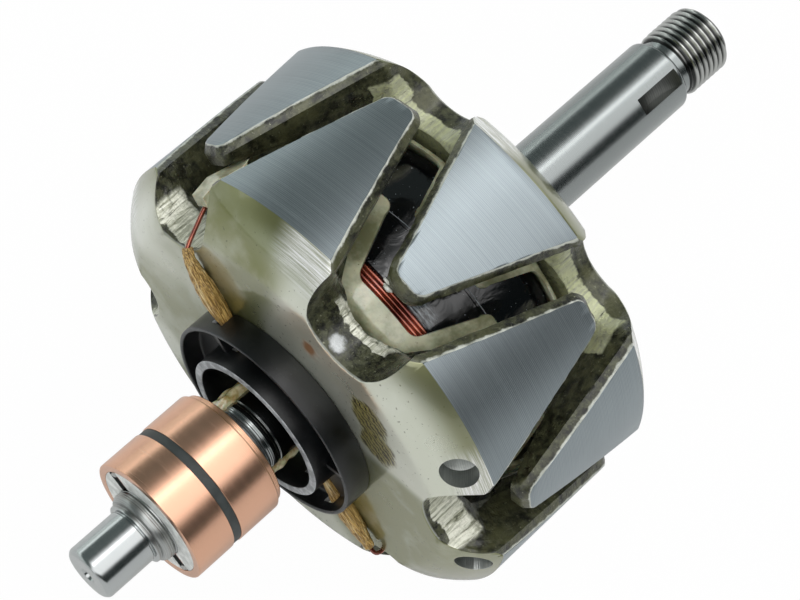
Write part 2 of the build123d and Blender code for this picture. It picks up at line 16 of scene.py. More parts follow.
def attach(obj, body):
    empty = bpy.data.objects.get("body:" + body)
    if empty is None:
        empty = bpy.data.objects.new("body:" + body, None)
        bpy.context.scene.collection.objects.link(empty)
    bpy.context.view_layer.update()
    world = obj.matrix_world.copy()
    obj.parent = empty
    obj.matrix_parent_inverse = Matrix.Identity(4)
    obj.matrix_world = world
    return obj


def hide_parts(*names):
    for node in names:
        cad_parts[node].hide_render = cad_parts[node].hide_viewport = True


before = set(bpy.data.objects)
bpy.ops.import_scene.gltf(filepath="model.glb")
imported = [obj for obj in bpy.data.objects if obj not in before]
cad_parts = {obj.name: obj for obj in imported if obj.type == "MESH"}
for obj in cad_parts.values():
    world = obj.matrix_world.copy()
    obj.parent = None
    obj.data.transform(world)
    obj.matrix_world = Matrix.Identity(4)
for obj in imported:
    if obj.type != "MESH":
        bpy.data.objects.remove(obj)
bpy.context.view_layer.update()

MM = 0.001
print("frame holds", len(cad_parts), "nodes")

# %% [markdown]
# ## Sizes
# The shaft lies along Y. The origin is at the outer face of the drive-side pole half, and angles turn
# about Y from +X towards +Z. One table of stations keeps all pieces in line with each other.

# %% Stations and radii
SLIP_FACE = -54.9
CARRIER_BACK = -68.9
INNER_RING_BACK = -70.25
INNER_RING_FRONT = -80.25
OUTER_RING_BACK = -82.12
CARRIER_FRONT = -91.37
COLLAR_FRONT = -95.17
SLIP_END = -107.17
SEAT_END = 58.4
UNDERCUT_END = 60.9
DRIVE_END = 73.2
BODY_R = 52.7
SLIP_CLAW_ANGLE = 38.6
DRIVE_CLAW_ANGLE = 8.6
CLAWS = 6
SEAT_R = 8.5
NECK_R = 8.0
RING_R = 14.2
FILM_R = 33.72
WIRE_R = 0.475
# Angles of the two grooves in the neck, of the two leads on the plate and of the key slot
START_GROOVE = 140.0
FINISH_GROOVE = -40.0
START_LEAD = 125.0
FINISH_LEAD = -46.5
KEY_ANGLE = 45.5
print("overall length", round(DRIVE_END - SLIP_END, 2), "mm")


# %% [markdown]
# ## Small helpers
# A mesh starts as a list of points in millimetres. `make_object` turns it into an object, merges the
# seams between patches, points the normals outwards and lets the part ride on the frame's only body.

# %% Points and objects
def at(radius, angle, y):
    """Point at a radius and an angle about the shaft, in millimetres."""
    return (radius * cos(radians(angle)), y, radius * sin(radians(angle)))


def directions(angle):
    """Unit vectors outwards and sideways at an angle about the shaft."""
    turn = radians(angle)
    return Vector((cos(turn), 0, sin(turn))), Vector((-sin(turn), 0, cos(turn)))


def make_object(name, points, faces, materials, slots=None, crease=35):
    """Object from points in millimetres, with seams merged and creases kept sharp."""
    mesh = bpy.data.meshes.new(name)
    mesh.from_pydata([(x * MM, y * MM, z * MM) for x, y, z in points], [], faces)
    if slots is not None:
        mesh.polygons.foreach_set("material_index", np.asarray(slots, dtype=np.int32))
    work = bmesh.new()
    work.from_mesh(mesh)
    bmesh.ops.remove_doubles(work, verts=work.verts, dist=2e-6)
    bmesh.ops.dissolve_degenerate(work, edges=work.edges, dist=1e-6)
    bmesh.ops.recalc_face_normals(work, faces=work.faces)
    work.to_mesh(mesh)
    work.free()
    for material in materials:
        mesh.materials.append(material)
    mesh.polygons.foreach_set("use_smooth", [True] * len(mesh.polygons))
    mesh.set_sharp_from_angle(angle=radians(crease))
    made = bpy.data.objects.new(name, mesh)
    bpy.context.collection.objects.link(made)
    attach(made, "root")
    return made


def grid_faces(rows, columns, start=0, closed=False):
    """Quads between the rows of a grid whose points are stored row after row."""
    faces = []
    span = columns if closed else columns - 1
    for row in range(rows - 1):
        for column in range(span):
            after = (column + 1) % columns
            a = start + row * columns + column
            b = start + row * columns + after
            faces.append((a, b, b + columns, a + columns))
    return faces


def round_corners(points, radius, steps=3):
    """Open outline with its inner corners turned into arcs; a third number sets a corner's own radius."""
    out = [tuple(points[0][:2])]
    for before, corner, after in zip(points, points[1:], points[2:]):
        reach = corner[2] if len(corner) > 2 else radius
        here = Vector(corner[:2])
        back = Vector(before[:2]) - here
        ahead = Vector(after[:2]) - here
        reach = min(reach, back.length * 0.45, ahead.length * 0.45)
        if reach < 0.01:
            out.append(tuple(here))
            continue
        start = here + back.normalized() * reach
        end = here + ahead.normalized() * reach
        for step in range(steps + 1):
            t = step / steps
            out.append(tuple(start * (1 - t) ** 2 + here * 2 * t * (1 - t) + end * t**2))
    out.append(tuple(points[-1][:2]))
    return out


def lathe(name, outline, materials, segments=192, radius=0.15, closed=True, slot_of=None, crease=30):
    """Body turned about Y from an outline of (radius, y) points."""
    loop = list(outline)
    if closed:
        middle = ((loop[0][0] + loop[-1][0]) / 2, (loop[0][1] + loop[-1][1]) / 2)
        loop = [middle] + loop + [middle]
    line = round_corners(loop, radius)
    points = []
    for r, y in line:
        for k in range(segments):
            points.append(at(r, 360 * k / segments, y))
    faces = grid_faces(len(line), segments, closed=True)
    slots = None
    if slot_of:
        slots = []
        for row in range(len(line) - 1):
            mid_r = (line[row][0] + line[row + 1][0]) / 2
            mid_y = (line[row][1] + line[row + 1][1]) / 2
            slots += [slot_of(mid_r, mid_y)] * segments
    return make_object(name, points, faces, materials, slots, crease)


def cut(target, tool):
    """Takes a tool's volume out of a target, leaves plain mesh and drops the tool."""
    modifier = target.modifiers.new("cut", "BOOLEAN")
    modifier.operation = "DIFFERENCE"
    modifier.solver = "EXACT"
    modifier.object = tool
    bpy.context.view_layer.update()
    graph = bpy.context.evaluated_depsgraph_get()
    done = bpy.data.meshes.new_from_object(target.evaluated_get(graph))
    target.modifiers.clear()
    target.data = done
    target.data.set_sharp_from_angle(angle=radians(35))
    bpy.data.objects.remove(tool)


def ridge(x, period, seed):
    """Slow wave between -1 and 1 that repeats nowhere near the part's own size."""
    return noise.noise(Vector((x / period, seed * 7.13, seed * 3.7)))


print("helpers ready")

# %% [markdown]
# ## Colours and node helpers
# Colours are written as sRGB hex, as a paint chart gives them, and one function turns them to linear
# light. Every shader node in this lesson is added by the same small function, `add`. The helpers after
# it only give names to the sums that the materials repeat.

# %% Node helpers
def colour(code):
    """sRGB hex to linear RGBA."""
    parts = [int(code[k:k + 2], 16) / 255 for k in (1, 3, 5)]
    return tuple(c / 12.92 if c <= 0.04045 else ((c + 0.055) / 1.055) ** 2.4 for c in parts) + (1.0,)


def add(tree, kind, links=None, **settings):
    """Adds a node, sets its properties, and fills or links its sockets."""
    made = tree.nodes.new(kind)
    for key, value in settings.items():
        setattr(made, key, value)
    for socket, value in (links or {}).items():
        if isinstance(value, bpy.types.NodeSocket):
            tree.links.new(value, made.inputs[socket])
        else:
            made.inputs[socket].default_value = value
    return made


def start(name):
    """New material with the part's own coordinates."""
    material = bpy.data.materials.new(name)
    material.use_nodes = True
    tree = material.node_tree
    tree.nodes.clear()
    place = add(tree, "ShaderNodeTexCoord").outputs["Object"]
    return material, tree, place


def finish_material(tree, shader):
    """Links the last shader to the output."""
    add(tree, "ShaderNodeOutputMaterial", {"Surface": shader.outputs[0]})


def math_node(tree, operation, first, second=0.0, third=0.0, clamp=False):
    """Result of one sum on sockets or numbers."""
    inputs = {0: first, 1: second, 2: third}
    return add(tree, "ShaderNodeMath", inputs, operation=operation, use_clamp=clamp).outputs[0]


def times(tree, first, *others):
    """Product of sockets or numbers."""
    product = first
    for other in others:
        product = math_node(tree, "MULTIPLY", product, other)
    return product


def minus(tree, first, second):
    """Difference of two sockets or numbers."""
    return math_node(tree, "SUBTRACT", first, second)


def scaled(tree, value, factor, offset, clamp=False):
    """A value times a factor, plus an offset."""
    return math_node(tree, "MULTIPLY_ADD", value, factor, offset, clamp)


def larger(tree, first, second):
    """The larger of two sockets or numbers."""
    return math_node(tree, "MAXIMUM", first, second)


def away_from(tree, value, middle):
    """How far a value is from a middle, either way."""
    return math_node(tree, "ABSOLUTE", minus(tree, value, middle))


def step_up(tree, value, low, high):
    """0 below low, 1 above high, and smooth between; with low above high it falls instead."""
    inputs = {"Value": value, "From Min": low, "From Max": high}
    return add(tree, "ShaderNodeMapRange", inputs, interpolation_type="SMOOTHSTEP").outputs["Result"]


def blend(tree, factor, first, second):
    """Mix of two colours."""
    return add(tree, "ShaderNodeMix", {"Factor": factor, 6: first, 7: second}, data_type="RGBA").outputs[2]


def noise_node(tree, vector, scale, detail, roughness=0.5, distortion=0.0):
    """Soft noise between 0 and 1 at a place."""
    inputs = {
        "Vector": vector, "Scale": scale, "Detail": detail, "Roughness": roughness, "Distortion": distortion,
    }
    return add(tree, "ShaderNodeTexNoise", inputs).outputs[0]


def point_node(tree, x, y, z=0.0):
    """A place made of three single values, for noise that is stretched one way."""
    return add(tree, "ShaderNodeCombineXYZ", {0: x, 1: y, 2: z}).outputs[0]


def vector_node(tree, operation, inputs, output=0):
    """Result of one sum on vectors."""
    return add(tree, "ShaderNodeVectorMath", inputs, operation=operation).outputs[output]


def distance_to(tree, place, spot):
    """Distance in metres to a spot given as radius, angle and station in millimetres."""
    point = tuple(v * MM for v in at(*spot))
    return vector_node(tree, "DISTANCE", {0: place, 1: point}, "Value")


def relief(tree, strength, distance, height):
    """Normal that a height tilts."""
    inputs = {"Strength": strength, "Distance": distance, "Height": height}
    return add(tree, "ShaderNodeBump", inputs).outputs[0]


def cylinder_place(tree, place, radius_mm):
    """Unrolled coordinates in millimetres, way round the shaft, way along it and radius, then the angle."""
    split = add(tree, "ShaderNodeSeparateXYZ", {0: place})
    turn = math_node(tree, "ARCTAN2", split.outputs["Z"], split.outputs["X"])
    around = times(tree, turn, radius_mm)
    along = times(tree, split.outputs["Y"], 1000)
    square = times(tree, split.outputs["X"], split.outputs["X"])
    total = scaled(tree, split.outputs["Z"], split.outputs["Z"], square)
    radial = times(tree, math_node(tree, "SQRT", total), 1000)
    return around, along, radial, turn


print("node helpers ready")


# %% [markdown]
# ## Ground steel
# The claws and the shaft are finished on a cylindrical grinder. The wheel leaves fine lines round the
# part, about 0.1 mm apart, drawn here 0.35 mm apart so that they show. Each line is a little rougher
# or smoother than the next, and the highlight spreads across the lines, which anisotropy gives.

# %% Ground and polished steel
def turned_metal(name, base, second, line_mm, rough, line=0.1, bump=0.4, anisotropic=0.5, patch=0.2,
                 valley_shade_below=None):
    """Metal with fine lines round the shaft, for grinding, turning or polishing, with painted shade in the
    thread's valleys when a radius is given.
    """
    material, tree, place = start(name)
    around, along, radial, _ = cylinder_place(tree, place, 10.0)
    flat = math_node(tree, "ADD", along, radial)
    drift_at = point_node(tree, times(tree, around, 0.05), math_node(tree, "DIVIDE", flat, line_mm * 5))
    drift = noise_node(tree, drift_at, 1.0, 3.0)
    fine_at = point_node(tree, times(tree, around, 0.03), math_node(tree, "DIVIDE", flat, line_mm * 0.5))
    fine = noise_node(tree, fine_at, 1.0, 4.0, 0.7)
    phase = scaled(tree, drift, 5.0, times(tree, flat, 2 * pi / line_mm))
    wave = times(tree, math_node(tree, "SINE", phase), scaled(tree, drift, 1.2, -0.1))
    clouds = noise_node(tree, place, 60.0, 4.0)
    shade = scaled(tree, wave, line, scaled(tree, fine, line * 4, 0.5 - line * 2))
    shade = scaled(tree, minus(tree, clouds, 0.5), patch, shade, clamp=True)
    tint = blend(tree, shade, colour(second), colour(base))
    # painted shade: below this radius in mm the thread's valleys are darkened, short of the shaft's end
    if valley_shade_below:
        valley = step_up(tree, radial, valley_shade_below, valley_shade_below - 0.45)
        before_end = step_up(tree, along, DRIVE_END - 0.3, DRIVE_END - 0.6)
        tint = blend(tree, times(tree, valley, before_end), tint, colour("#343534"))
    tangent = add(tree, "ShaderNodeTangent", direction_type="RADIAL", axis="Y")
    shader = add(tree, "ShaderNodeBsdfPrincipled", {
        "Base Color": tint, "Metallic": 1.0, "Anisotropic": anisotropic, "Tangent": tangent.outputs[0],
        "Roughness": scaled(tree, minus(tree, fine, 0.5), 0.2, rough, clamp=True),
        "Normal": relief(tree, bump, 0.00003, scaled(tree, fine, 0.8, wave)),
    })
    finish_material(tree, shader)
    return material


ground_steel = turned_metal("ground_steel_claws", "#b7c0c4", "#5c6569", 0.34, 0.33, line=0.16, bump=0.5)
shaft_steel = turned_metal(
    "ground_steel_shaft", "#a6abaa", "#757979", 0.35, 0.21, line=0.07, bump=0.2, patch=0.1)
neck_steel = turned_metal("polished_steel_neck", "#a9adac", "#6f7373", 0.5, 0.15, line=0.06, bump=0.2)
journal_steel = turned_metal("polished_steel_journal", "#cfd2d2", "#9a9e9e", 0.3, 0.16, line=0.06, bump=0.2)
collar_steel = turned_metal(
    "turned_steel_collar", "#cfd1cf", "#6f7271", 0.5, 0.30, line=0.2, bump=0.8, anisotropic=0.2, patch=0.8)
# the rolled thread gets painted shade in its valleys below 7.75 mm
thread_steel = turned_metal(
    "rolled_steel_thread", "#d9dad7", "#8b8c8a", 0.3, 0.2, line=0.05, bump=0.1, anisotropic=0.0, patch=0.8,
    valley_shade_below=7.75)
keyway_steel = turned_metal(
    "milled_steel_keyway", "#8c8e8b", "#4c4e4c", 0.6, 0.34, line=0.2, bump=0.6, anisotropic=0.0, patch=0.6)
ring_copper = turned_metal(
    "polished_copper_rings", "#efc1a6", "#d8a284", 0.3, 0.24, line=0.04, bump=0.08, patch=0.12)
print("turned metals ready")


# %% [markdown]
# ## Forged and varnished steel
# The pole halves are forged, so the flanks keep a dark scaly skin. The whole rotor was then dipped in
# a pale impregnating varnish, which is thick on the slip-side face, brushed off at the ground corner,
# and pooled in the notches.

# %% Forged skin and varnish
# A dab of silver paint by the start lead's notch, as (radius, angle, station)
SILVER_DAB = (40.2, 69.5, -52.2)


def forged_scale(tree, scale, patches, grain):
    """Colours of the black forging skin."""
    dark = blend(tree, step_up(tree, scale, 0.36, 0.64), colour("#13140c"), colour("#4f513a"))
    dark = blend(tree, times(tree, step_up(tree, patches, 0.48, 0.66), 0.7), dark, colour("#5a5b3c"))
    return blend(tree, step_up(tree, grain, 0.61, 0.74), dark, colour("#85876f"))


def brushed_resin(tree, around, along, radial, turn, patches, band, floor_mm, bare_angle):
    """Where resin lies on the notch floors, and the noise that streaks it."""
    streaks_at = point_node(tree, times(tree, around, 1.0), times(tree, along, 0.14), radial)
    streaks = noise_node(tree, streaks_at, 1.1, 6.0, 0.6, 1.0)
    low, high = band
    thick = step_up(tree, away_from(tree, turn, radians(bare_angle)), radians(18), radians(30))
    wide = scaled(tree, thick, -4.6, low)
    top = scaled(tree, thick, 5.5, floor_mm)
    share = minus(tree, minus(tree, top, radial), times(tree, patches, 5.0))
    edge = scaled(tree, minus(tree, patches, 0.5), 9.0, along)
    past = step_up(tree, minus(tree, edge, wide), -0.2, 0.2)
    inside = times(tree, past, step_up(tree, edge, high + 0.3, high - 0.3))
    mask = times(tree, inside, step_up(tree, share, -2.4, -1.2), step_up(tree, streaks, 0.26, 0.40))
    return mask, streaks


def worn_edges(tree, along, radial, scale):
    """Where the skin is rubbed to bright metal: at the ground surface and at the notch mouths."""
    rubbed = step_up(tree, scaled(tree, scale, 0.8, radial), BODY_R - 0.05, BODY_R + 0.25)
    slip_mouth = step_up(tree, along, SLIP_FACE + 0.55, SLIP_FACE + 0.2)
    mouths = larger(tree, slip_mouth, step_up(tree, along, -0.55, -0.2))
    return larger(tree, rubbed, times(tree, mouths, 0.6))


def forged_skin(name, band, band_code, floor_mm, bare_angle):
    """Rough black forging; resin was brushed along the notch floors, between two stations along the shaft."""
    material, tree, place = start(name)
    around, along, radial, turn = cylinder_place(tree, place, BODY_R)
    grain = noise_node(tree, place, 1500.0, 5.0, 0.6)
    scale = noise_node(tree, place, 520.0, 6.0, 0.65)
    patches = noise_node(tree, place, 110.0, 4.0, 0.6)
    dark = forged_scale(tree, scale, patches, grain)
    mask, streaks = brushed_resin(tree, around, along, radial, turn, patches, band, floor_mm, bare_angle)
    coat = blend(tree, step_up(tree, streaks, 0.34, 0.62), colour("#aaac94"), colour(band_code))
    tint = blend(tree, mask, dark, coat)
    tint = blend(tree, worn_edges(tree, along, radial, scale), tint, colour("#c4c7bd"))
    dab = scaled(tree, scale, 0.0018, distance_to(tree, place, SILVER_DAB))
    tint = blend(tree, step_up(tree, dab, 0.0035, 0.0026), tint, colour("#d3d6d6"))
    height = scaled(tree, mask, 0.5, scaled(tree, grain, 0.35, scale))
    shader = add(tree, "ShaderNodeBsdfPrincipled", {
        "Base Color": tint, "Metallic": 0.3, "Roughness": scaled(tree, patches, 0.3, 0.16),
        "Coat Weight": 0.5, "Coat Roughness": 0.18, "Normal": relief(tree, 1.0, 0.0004, height),
    })
    finish_material(tree, shader)
    return material


# Angles where a brush scoured the corner bare, and stains as (radius, angle, station), reach in mm, colour
BRUSHED_ANGLES = (84.0, 22.0, -52.0, -118.0, 166.0)
SCRAWL = "#8a8248"
STAINS = (
    ((32.6, 74.6, -54.9), 1.6, "#7d4d14"),
    ((32.6, 44.0, -54.9), 4.2, SCRAWL),
    ((31.2, 31.0, -54.9), 4.0, SCRAWL),
)
# Hatch strokes of the scrawl are 0.9 mm apart: 2 pi / (20 x 0.0009 m) = 349
HATCH_SCALE = 349.0


def varnish_colour(tree, clouds, runs, specks, depth, ground_start):
    """Pale varnish with olive pools and painted dark reflection bands, thin runs and specks of dirt, and a
    painted dark olive reflection towards the corner.
    """
    # olive pools in the varnish, which also stand in for painted dark reflection bands
    pale = blend(tree, step_up(tree, clouds, 0.42, 0.57), colour("#7c7f50"), colour("#d3d6c6"))
    pale = blend(tree, times(tree, step_up(tree, runs, 0.46, 0.68), 0.22), pale, colour("#f1f2ec"))
    pale = blend(tree, times(tree, step_up(tree, specks, 0.67, 0.72), 0.6), pale, colour("#5d5d45"))
    # painted dark olive reflection, deepening towards the corner
    olive = step_up(tree, depth, ground_start * 0.25, ground_start * 0.9)
    return blend(tree, times(tree, olive, 0.85), pale, colour("#77794f"))


def scoured_corner(tree, turn, runs, depth, ground_start):
    """Where a brush took the varnish off the corner, at a few angles."""
    rubbed = 0.0
    for middle in BRUSHED_ANGLES:
        away = away_from(tree, turn, radians(middle))
        rubbed = larger(tree, rubbed, step_up(tree, away, radians(13), radians(5)))
    ragged = scaled(tree, minus(tree, runs, 0.5), 3.0, depth)
    return times(tree, step_up(tree, ragged, ground_start * 0.15, ground_start * 0.6), rubbed)


def stained(tree, place, runs, tint):
    """The colour with its stains and scrawls, and how much they dull the metal."""
    hatch = add(tree, "ShaderNodeTexWave", {
        "Vector": place, "Scale": HATCH_SCALE, "Distortion": 6.0, "Detail": 3.0, "Detail Scale": 2.0,
    }, bands_direction="DIAGONAL").outputs[1]
    dull = 0.0
    for spot, reach, code in STAINS:
        ragged = scaled(tree, runs, 0.011, distance_to(tree, place, spot))
        stain = step_up(tree, ragged, (reach + 7.2) * MM, (reach + 5.4) * MM)
        dull = larger(tree, dull, stain)
        tint = blend(tree, times(tree, stain, 0.95), tint, colour(code))
        if code == SCRAWL:
            tint = blend(tree, times(tree, stain, step_up(tree, hatch, 0.45, 0.75)), tint, colour("#241a06"))
    return tint, dull


def varnished_face(name, face_y, inward, ground_start):
    """Plate face under glossy varnish over bright metal, with turning marks at the corner."""
    material, tree, place = start(name)
    around, along, radial, turn = cylinder_place(tree, place, 45.0)
    depth = times(tree, minus(tree, along, face_y), inward)
    clouds = noise_node(tree, place, 24.0, 2.0, 0.35, 0.8)
    runs = noise_node(tree, place, 90.0, 5.0, 0.5, 0.2)
    specks = noise_node(tree, place, 1300.0, 2.0)
    across_lines = math_node(tree, "ADD", times(tree, along, 1.6), times(tree, radial, 1.2))
    lines = noise_node(tree, point_node(tree, times(tree, around, 0.05), across_lines), 1.4, 6.0, 0.75)
    pale = varnish_colour(tree, clouds, runs, specks, depth, ground_start)
    corner = scoured_corner(tree, turn, runs, depth, ground_start)
    bare = blend(tree, step_up(tree, lines, 0.38, 0.62), colour("#a8aa94"), colour("#ffffff"))
    tint, dull = stained(tree, place, runs, blend(tree, corner, pale, bare))
    height = scaled(tree, times(tree, lines, corner), 1.2, runs)
    shader = add(tree, "ShaderNodeBsdfPrincipled", {
        "Base Color": tint, "Coat Weight": 0.8, "Coat Roughness": 0.06,
        "Metallic": minus(tree, scaled(tree, dull, -0.6, 0.72), times(tree, corner, 0.3)),
        "Roughness": scaled(tree, corner, 0.15, scaled(tree, runs, 0.15, 0.22)),
        "Normal": relief(tree, 0.4, 0.00012, height), "Coat Normal": relief(tree, 0.25, 0.0004, runs),
    })
    finish_material(tree, shader)
    return material


slip_skin = forged_skin("forged_skin_slip", (-49.4, -46.2), "#f4f4e4", 41.5, bare_angle=68.6)
drive_skin = forged_skin("forged_skin_drive", (-7.9, -3.9), "#c3c79c", 43.0, bare_angle=-90.0)
slip_varnish = varnished_face("varnished_face_slip", SLIP_FACE, 1.0, 7.7)
drive_varnish = varnished_face("varnished_face_drive", 0.0, -1.0, 7.4)
print("forged and varnished steels ready")


# %% [markdown]
# ## Plastics, wire and fibre
# The former is moulded nylon, cream with an olive cast from the varnish. The coil's wrap is a glossy
# black film, the lead cup a black moulding with a rubbed rim, and the sleeves are varnished glass fibre.

# %% Plastics, film, wire and fibre
def moulded(name, base, second, cell_mm, rough, coat=0.0, bump=0.2, soft=0.0, specks=None):
    """Moulded or coated plastic with slow colour change and a fine grain."""
    material, tree, place = start(name)
    clouds = noise_node(tree, place, 1000 / cell_mm, 5.0, 0.6)
    grain = noise_node(tree, place, 2200.0, 3.0)
    tint = blend(tree, step_up(tree, clouds, 0.35, 0.68), colour(base), colour(second))
    if specks:
        tint = blend(tree, step_up(tree, grain, 0.70, 0.76), tint, colour(specks))
    shader = add(tree, "ShaderNodeBsdfPrincipled", {
        "Base Color": tint, "Roughness": scaled(tree, clouds, 0.2, rough - 0.1),
        "Coat Weight": coat, "Coat Roughness": 0.08, "Subsurface Weight": soft, "Subsurface Scale": 0.001,
        "Normal": relief(tree, bump, 0.0002, scaled(tree, grain, 0.4, clouds)),
    })
    finish_material(tree, shader)
    return material


former_nylon = moulded(
    "moulded_nylon_former", "#757757", "#d2d3b4", 9.0, 0.22, coat=1.0, bump=0.4, soft=0.25, specks="#6b6a4c")
carrier_phenolic = moulded("moulded_phenolic_carrier", "#2b302f", "#3a4040", 3.0, 0.5)
# the carrier's front face is drawn much lighter than the rest of the moulding
carrier_face = moulded(
    "pale_phenolic_face", "#c9ccc8", "#f2f4f1", 2.0, 0.4, coat=0.3, bump=0.6, specks="#8d8f8c")
cup_nylon = moulded("moulded_nylon_cup", "#050607", "#0d0f11", 7.0, 0.34, specks="#3b4044")
cup_rim = moulded("rubbed_nylon_rim", "#0e1012", "#2c3034", 2.0, 0.3, bump=0.4)
cup_hub = moulded("rubbed_nylon_hub", "#85898d", "#c3c7ca", 2.0, 0.4, bump=0.4)
neck_resin = moulded("golden_neck_resin", "#a8924e", "#efe6bd", 2.2, 0.15, coat=1.0, bump=0.5, soft=0.3)
resin_white = moulded("flaked_white_resin", "#c9cabd", "#f4f4ec", 0.8, 0.3, coat=0.6, bump=0.8)
tin_solder = turned_metal("tin_solder", "#d2d2cf", "#8b8b88", 1.5, 0.3, anisotropic=0.0, patch=0.8)

# The film's lapped edge sways about the shaft: its middle station, its sway in mm and its phase in degrees
LAP_Y = -23.3
LAP_SWAY = 0.5
LAP_PHASE = 40


def glossy_film(name):
    """Black film with a smear of dried resin near the bare turns, where the varnish ran, specks of dust and a
    painted highlight along its lapped edge.
    """
    material, tree, place = start(name)
    around, along, _, turn = cylinder_place(tree, place, 33.7)
    wrinkle = noise_node(tree, place, 130.0, 3.0, 0.5, 1.0)
    specks = noise_node(tree, place, 1700.0, 3.0)
    smear = noise_node(tree, point_node(tree, times(tree, around, 0.35), times(tree, along, 1.6)), 1.3, 5.0)
    beside = step_up(tree, away_from(tree, turn, radians(59.5)), radians(6.5), radians(3.0))
    spot = times(tree, beside, step_up(tree, along, -30.6, -32.6), step_up(tree, smear, 0.34, 0.78))
    dust = times(tree, step_up(tree, specks, 0.69, 0.74), 0.8)
    sway = math_node(tree, "SINE", scaled(tree, turn, 2.0, radians(LAP_PHASE)))
    from_lap = scaled(tree, sway, -LAP_SWAY, math_node(tree, "ADD", along, -LAP_Y))
    # painted highlight: a thin pale line along the film's lapped edge
    lap_highlight = times(tree, step_up(tree, math_node(tree, "ABSOLUTE", from_lap), 0.16, 0.06), 0.6)
    marks = larger(tree, larger(tree, spot, dust), lap_highlight)
    tint = blend(tree, wrinkle, colour("#040506"), colour("#0d1013"))
    # the resin smear, the dust and the painted highlight on the lap share one pale colour
    tint = blend(tree, marks, tint, colour("#b9c2c8"))
    shader = add(tree, "ShaderNodeBsdfPrincipled", {
        "Base Color": tint, "Roughness": 0.14, "Coat Weight": 0.6, "Coat Roughness": 0.05,
        "Normal": relief(tree, 0.5, 0.0008, wrinkle),
    })
    finish_material(tree, shader)
    return material


def enamelled_wire(name):
    """Copper wire under red-brown enamel: metal colour below a thin clear coat."""
    material, tree, place = start(name)
    clouds = noise_node(tree, place, 240.0, 4.0)
    tint = blend(tree, step_up(tree, clouds, 0.35, 0.65), colour("#7a3424"), colour("#c06a4e"))
    shader = add(tree, "ShaderNodeBsdfPrincipled", {
        "Base Color": tint, "Metallic": 0.85, "Roughness": 0.24, "Coat Weight": 1.0, "Coat Roughness": 0.06,
    })
    finish_material(tree, shader)
    return material


def woven_glass(name, angle):
    """Varnished glass sleeve at an angle about the shaft: long golden fibres with darker gaps, and pale
    clumps that double as painted highlights.
    """
    material, tree, place = start(name)
    way = (Vector(at(39, angle, 0)) - Vector(at(18, angle, 0))).normalized()
    along = vector_node(tree, "DOT_PRODUCT", {0: place, 1: way}, "Value")
    lengthwise = vector_node(tree, "SCALE", {0: way, "Scale": along})
    squeezed = vector_node(tree, "SCALE", {0: lengthwise, "Scale": -0.96})
    fibre_at = vector_node(tree, "ADD", {0: place, 1: squeezed})
    fibres = noise_node(tree, fibre_at, 4600.0, 3.0, 0.6)
    clumps_and_glints = noise_node(tree, fibre_at, 1500.0, 3.0)
    tint = blend(tree, step_up(tree, fibres, 0.38, 0.62), colour("#735422"), colour("#d0ac66"))
    # pale fibre clumps, which also stand in for painted highlights on the varnished weave
    tint = blend(tree, step_up(tree, clumps_and_glints, 0.55, 0.72), tint, colour("#ecd7a2"))
    shader = add(tree, "ShaderNodeBsdfPrincipled", {
        "Base Color": tint, "Roughness": 0.42, "Coat Weight": 0.3, "Coat Roughness": 0.2,
        "Normal": relief(tree, 0.9, 0.00025, fibres),
    })
    finish_material(tree, shader)
    return material


enamel = enamelled_wire("enamelled_copper_wire")
wrap_film = glossy_film("black_film_wrap")
sleeve_glass_start = woven_glass("woven_glass_sleeve_start", START_LEAD)
sleeve_glass_finish = woven_glass("woven_glass_sleeve_finish", FINISH_LEAD)
core_iron = moulded("turned_iron_core", "#2f302e", "#454643", 4.0, 0.5)
print("plastics, wire and fibre ready")

# %% [markdown]
# ## The pole halves
# Each half is a forged plate whose rim runs out into six tapering fingers. Cutting such a shape with
# booleans leaves ragged edges, so it is meshed directly. One half-sector, from the middle of a notch to
# the middle of a claw, is described as patches on its real surfaces: the turned outside, the chamfer,
# the flank and the underside. It is mirrored and turned six times, and the seams merge.

# %% Shape of one half-sector
NOTCH_R = 10.5
NOTCH_CENTRE = 49.0
ROOT_R = 41.0
BORE_R = 9.02
ROOT_RISE = 2.6
ROOT_BLEND = 2.4
TIP_THICK = 4.0
CHAMFER_ACROSS = 1.3
CHAMFER_DEEP = 1.6
DRAFT = 24.0
TIP_ROUND = 3.6
FACE_R = 42.0
BULGE = 0.95
HALF_PITCH = radians(30)


def corner_profile(ground_start, count=24):
    """Points (radius, depth) of the bulging corner, from the flat face to the ground surface."""
    run = BODY_R - FACE_R
    length = hypot(run, ground_start)
    radius = (length**2 / 4 + BULGE**2) / (2 * BULGE)
    half = np.arcsin(length / 2 / radius)
    turn = np.linspace(-half, half, count)
    across = radius * np.sin(turn) + length / 2
    out = radius * np.cos(turn) - (radius - BULGE)
    unit = np.array([run, ground_start]) / length
    normal = np.array([ground_start, -run]) / length
    radii = FACE_R + across * unit[0] + out * normal[0]
    depths = across * unit[1] + out * normal[1]
    return np.stack([radii, depths], axis=1)


def beside_claw(half_width, height):
    """From a claw's own frame to the frame of the gap beside it."""
    radial = height * cos(HALF_PITCH) + half_width * sin(HALF_PITCH)
    across = height * sin(HALF_PITCH) - half_width * cos(HALF_PITCH)
    return np.array([radial, across])


def gap_to_claw(points):
    """From the gap's frame back to the claw's: (half_width, height)."""
    width = points[..., 0] * sin(HALF_PITCH) - points[..., 1] * cos(HALF_PITCH)
    height = points[..., 0] * cos(HALF_PITCH) + points[..., 1] * sin(HALF_PITCH)
    return width, height


def arc_to_floor(foot, floor, count):
    """Arc from the flank's foot to the middle of the notch floor, whichever way it bends."""
    centre = (foot[0] ** 2 + foot[1] ** 2 - floor**2) / (2 * (foot[0] - floor))
    radius = abs(centre - floor)
    turn = np.linspace(atan2(foot[1], foot[0] - centre), pi if centre > floor else 0.0, count)
    return np.stack([centre + radius * np.cos(turn), radius * np.sin(turn)], axis=1)


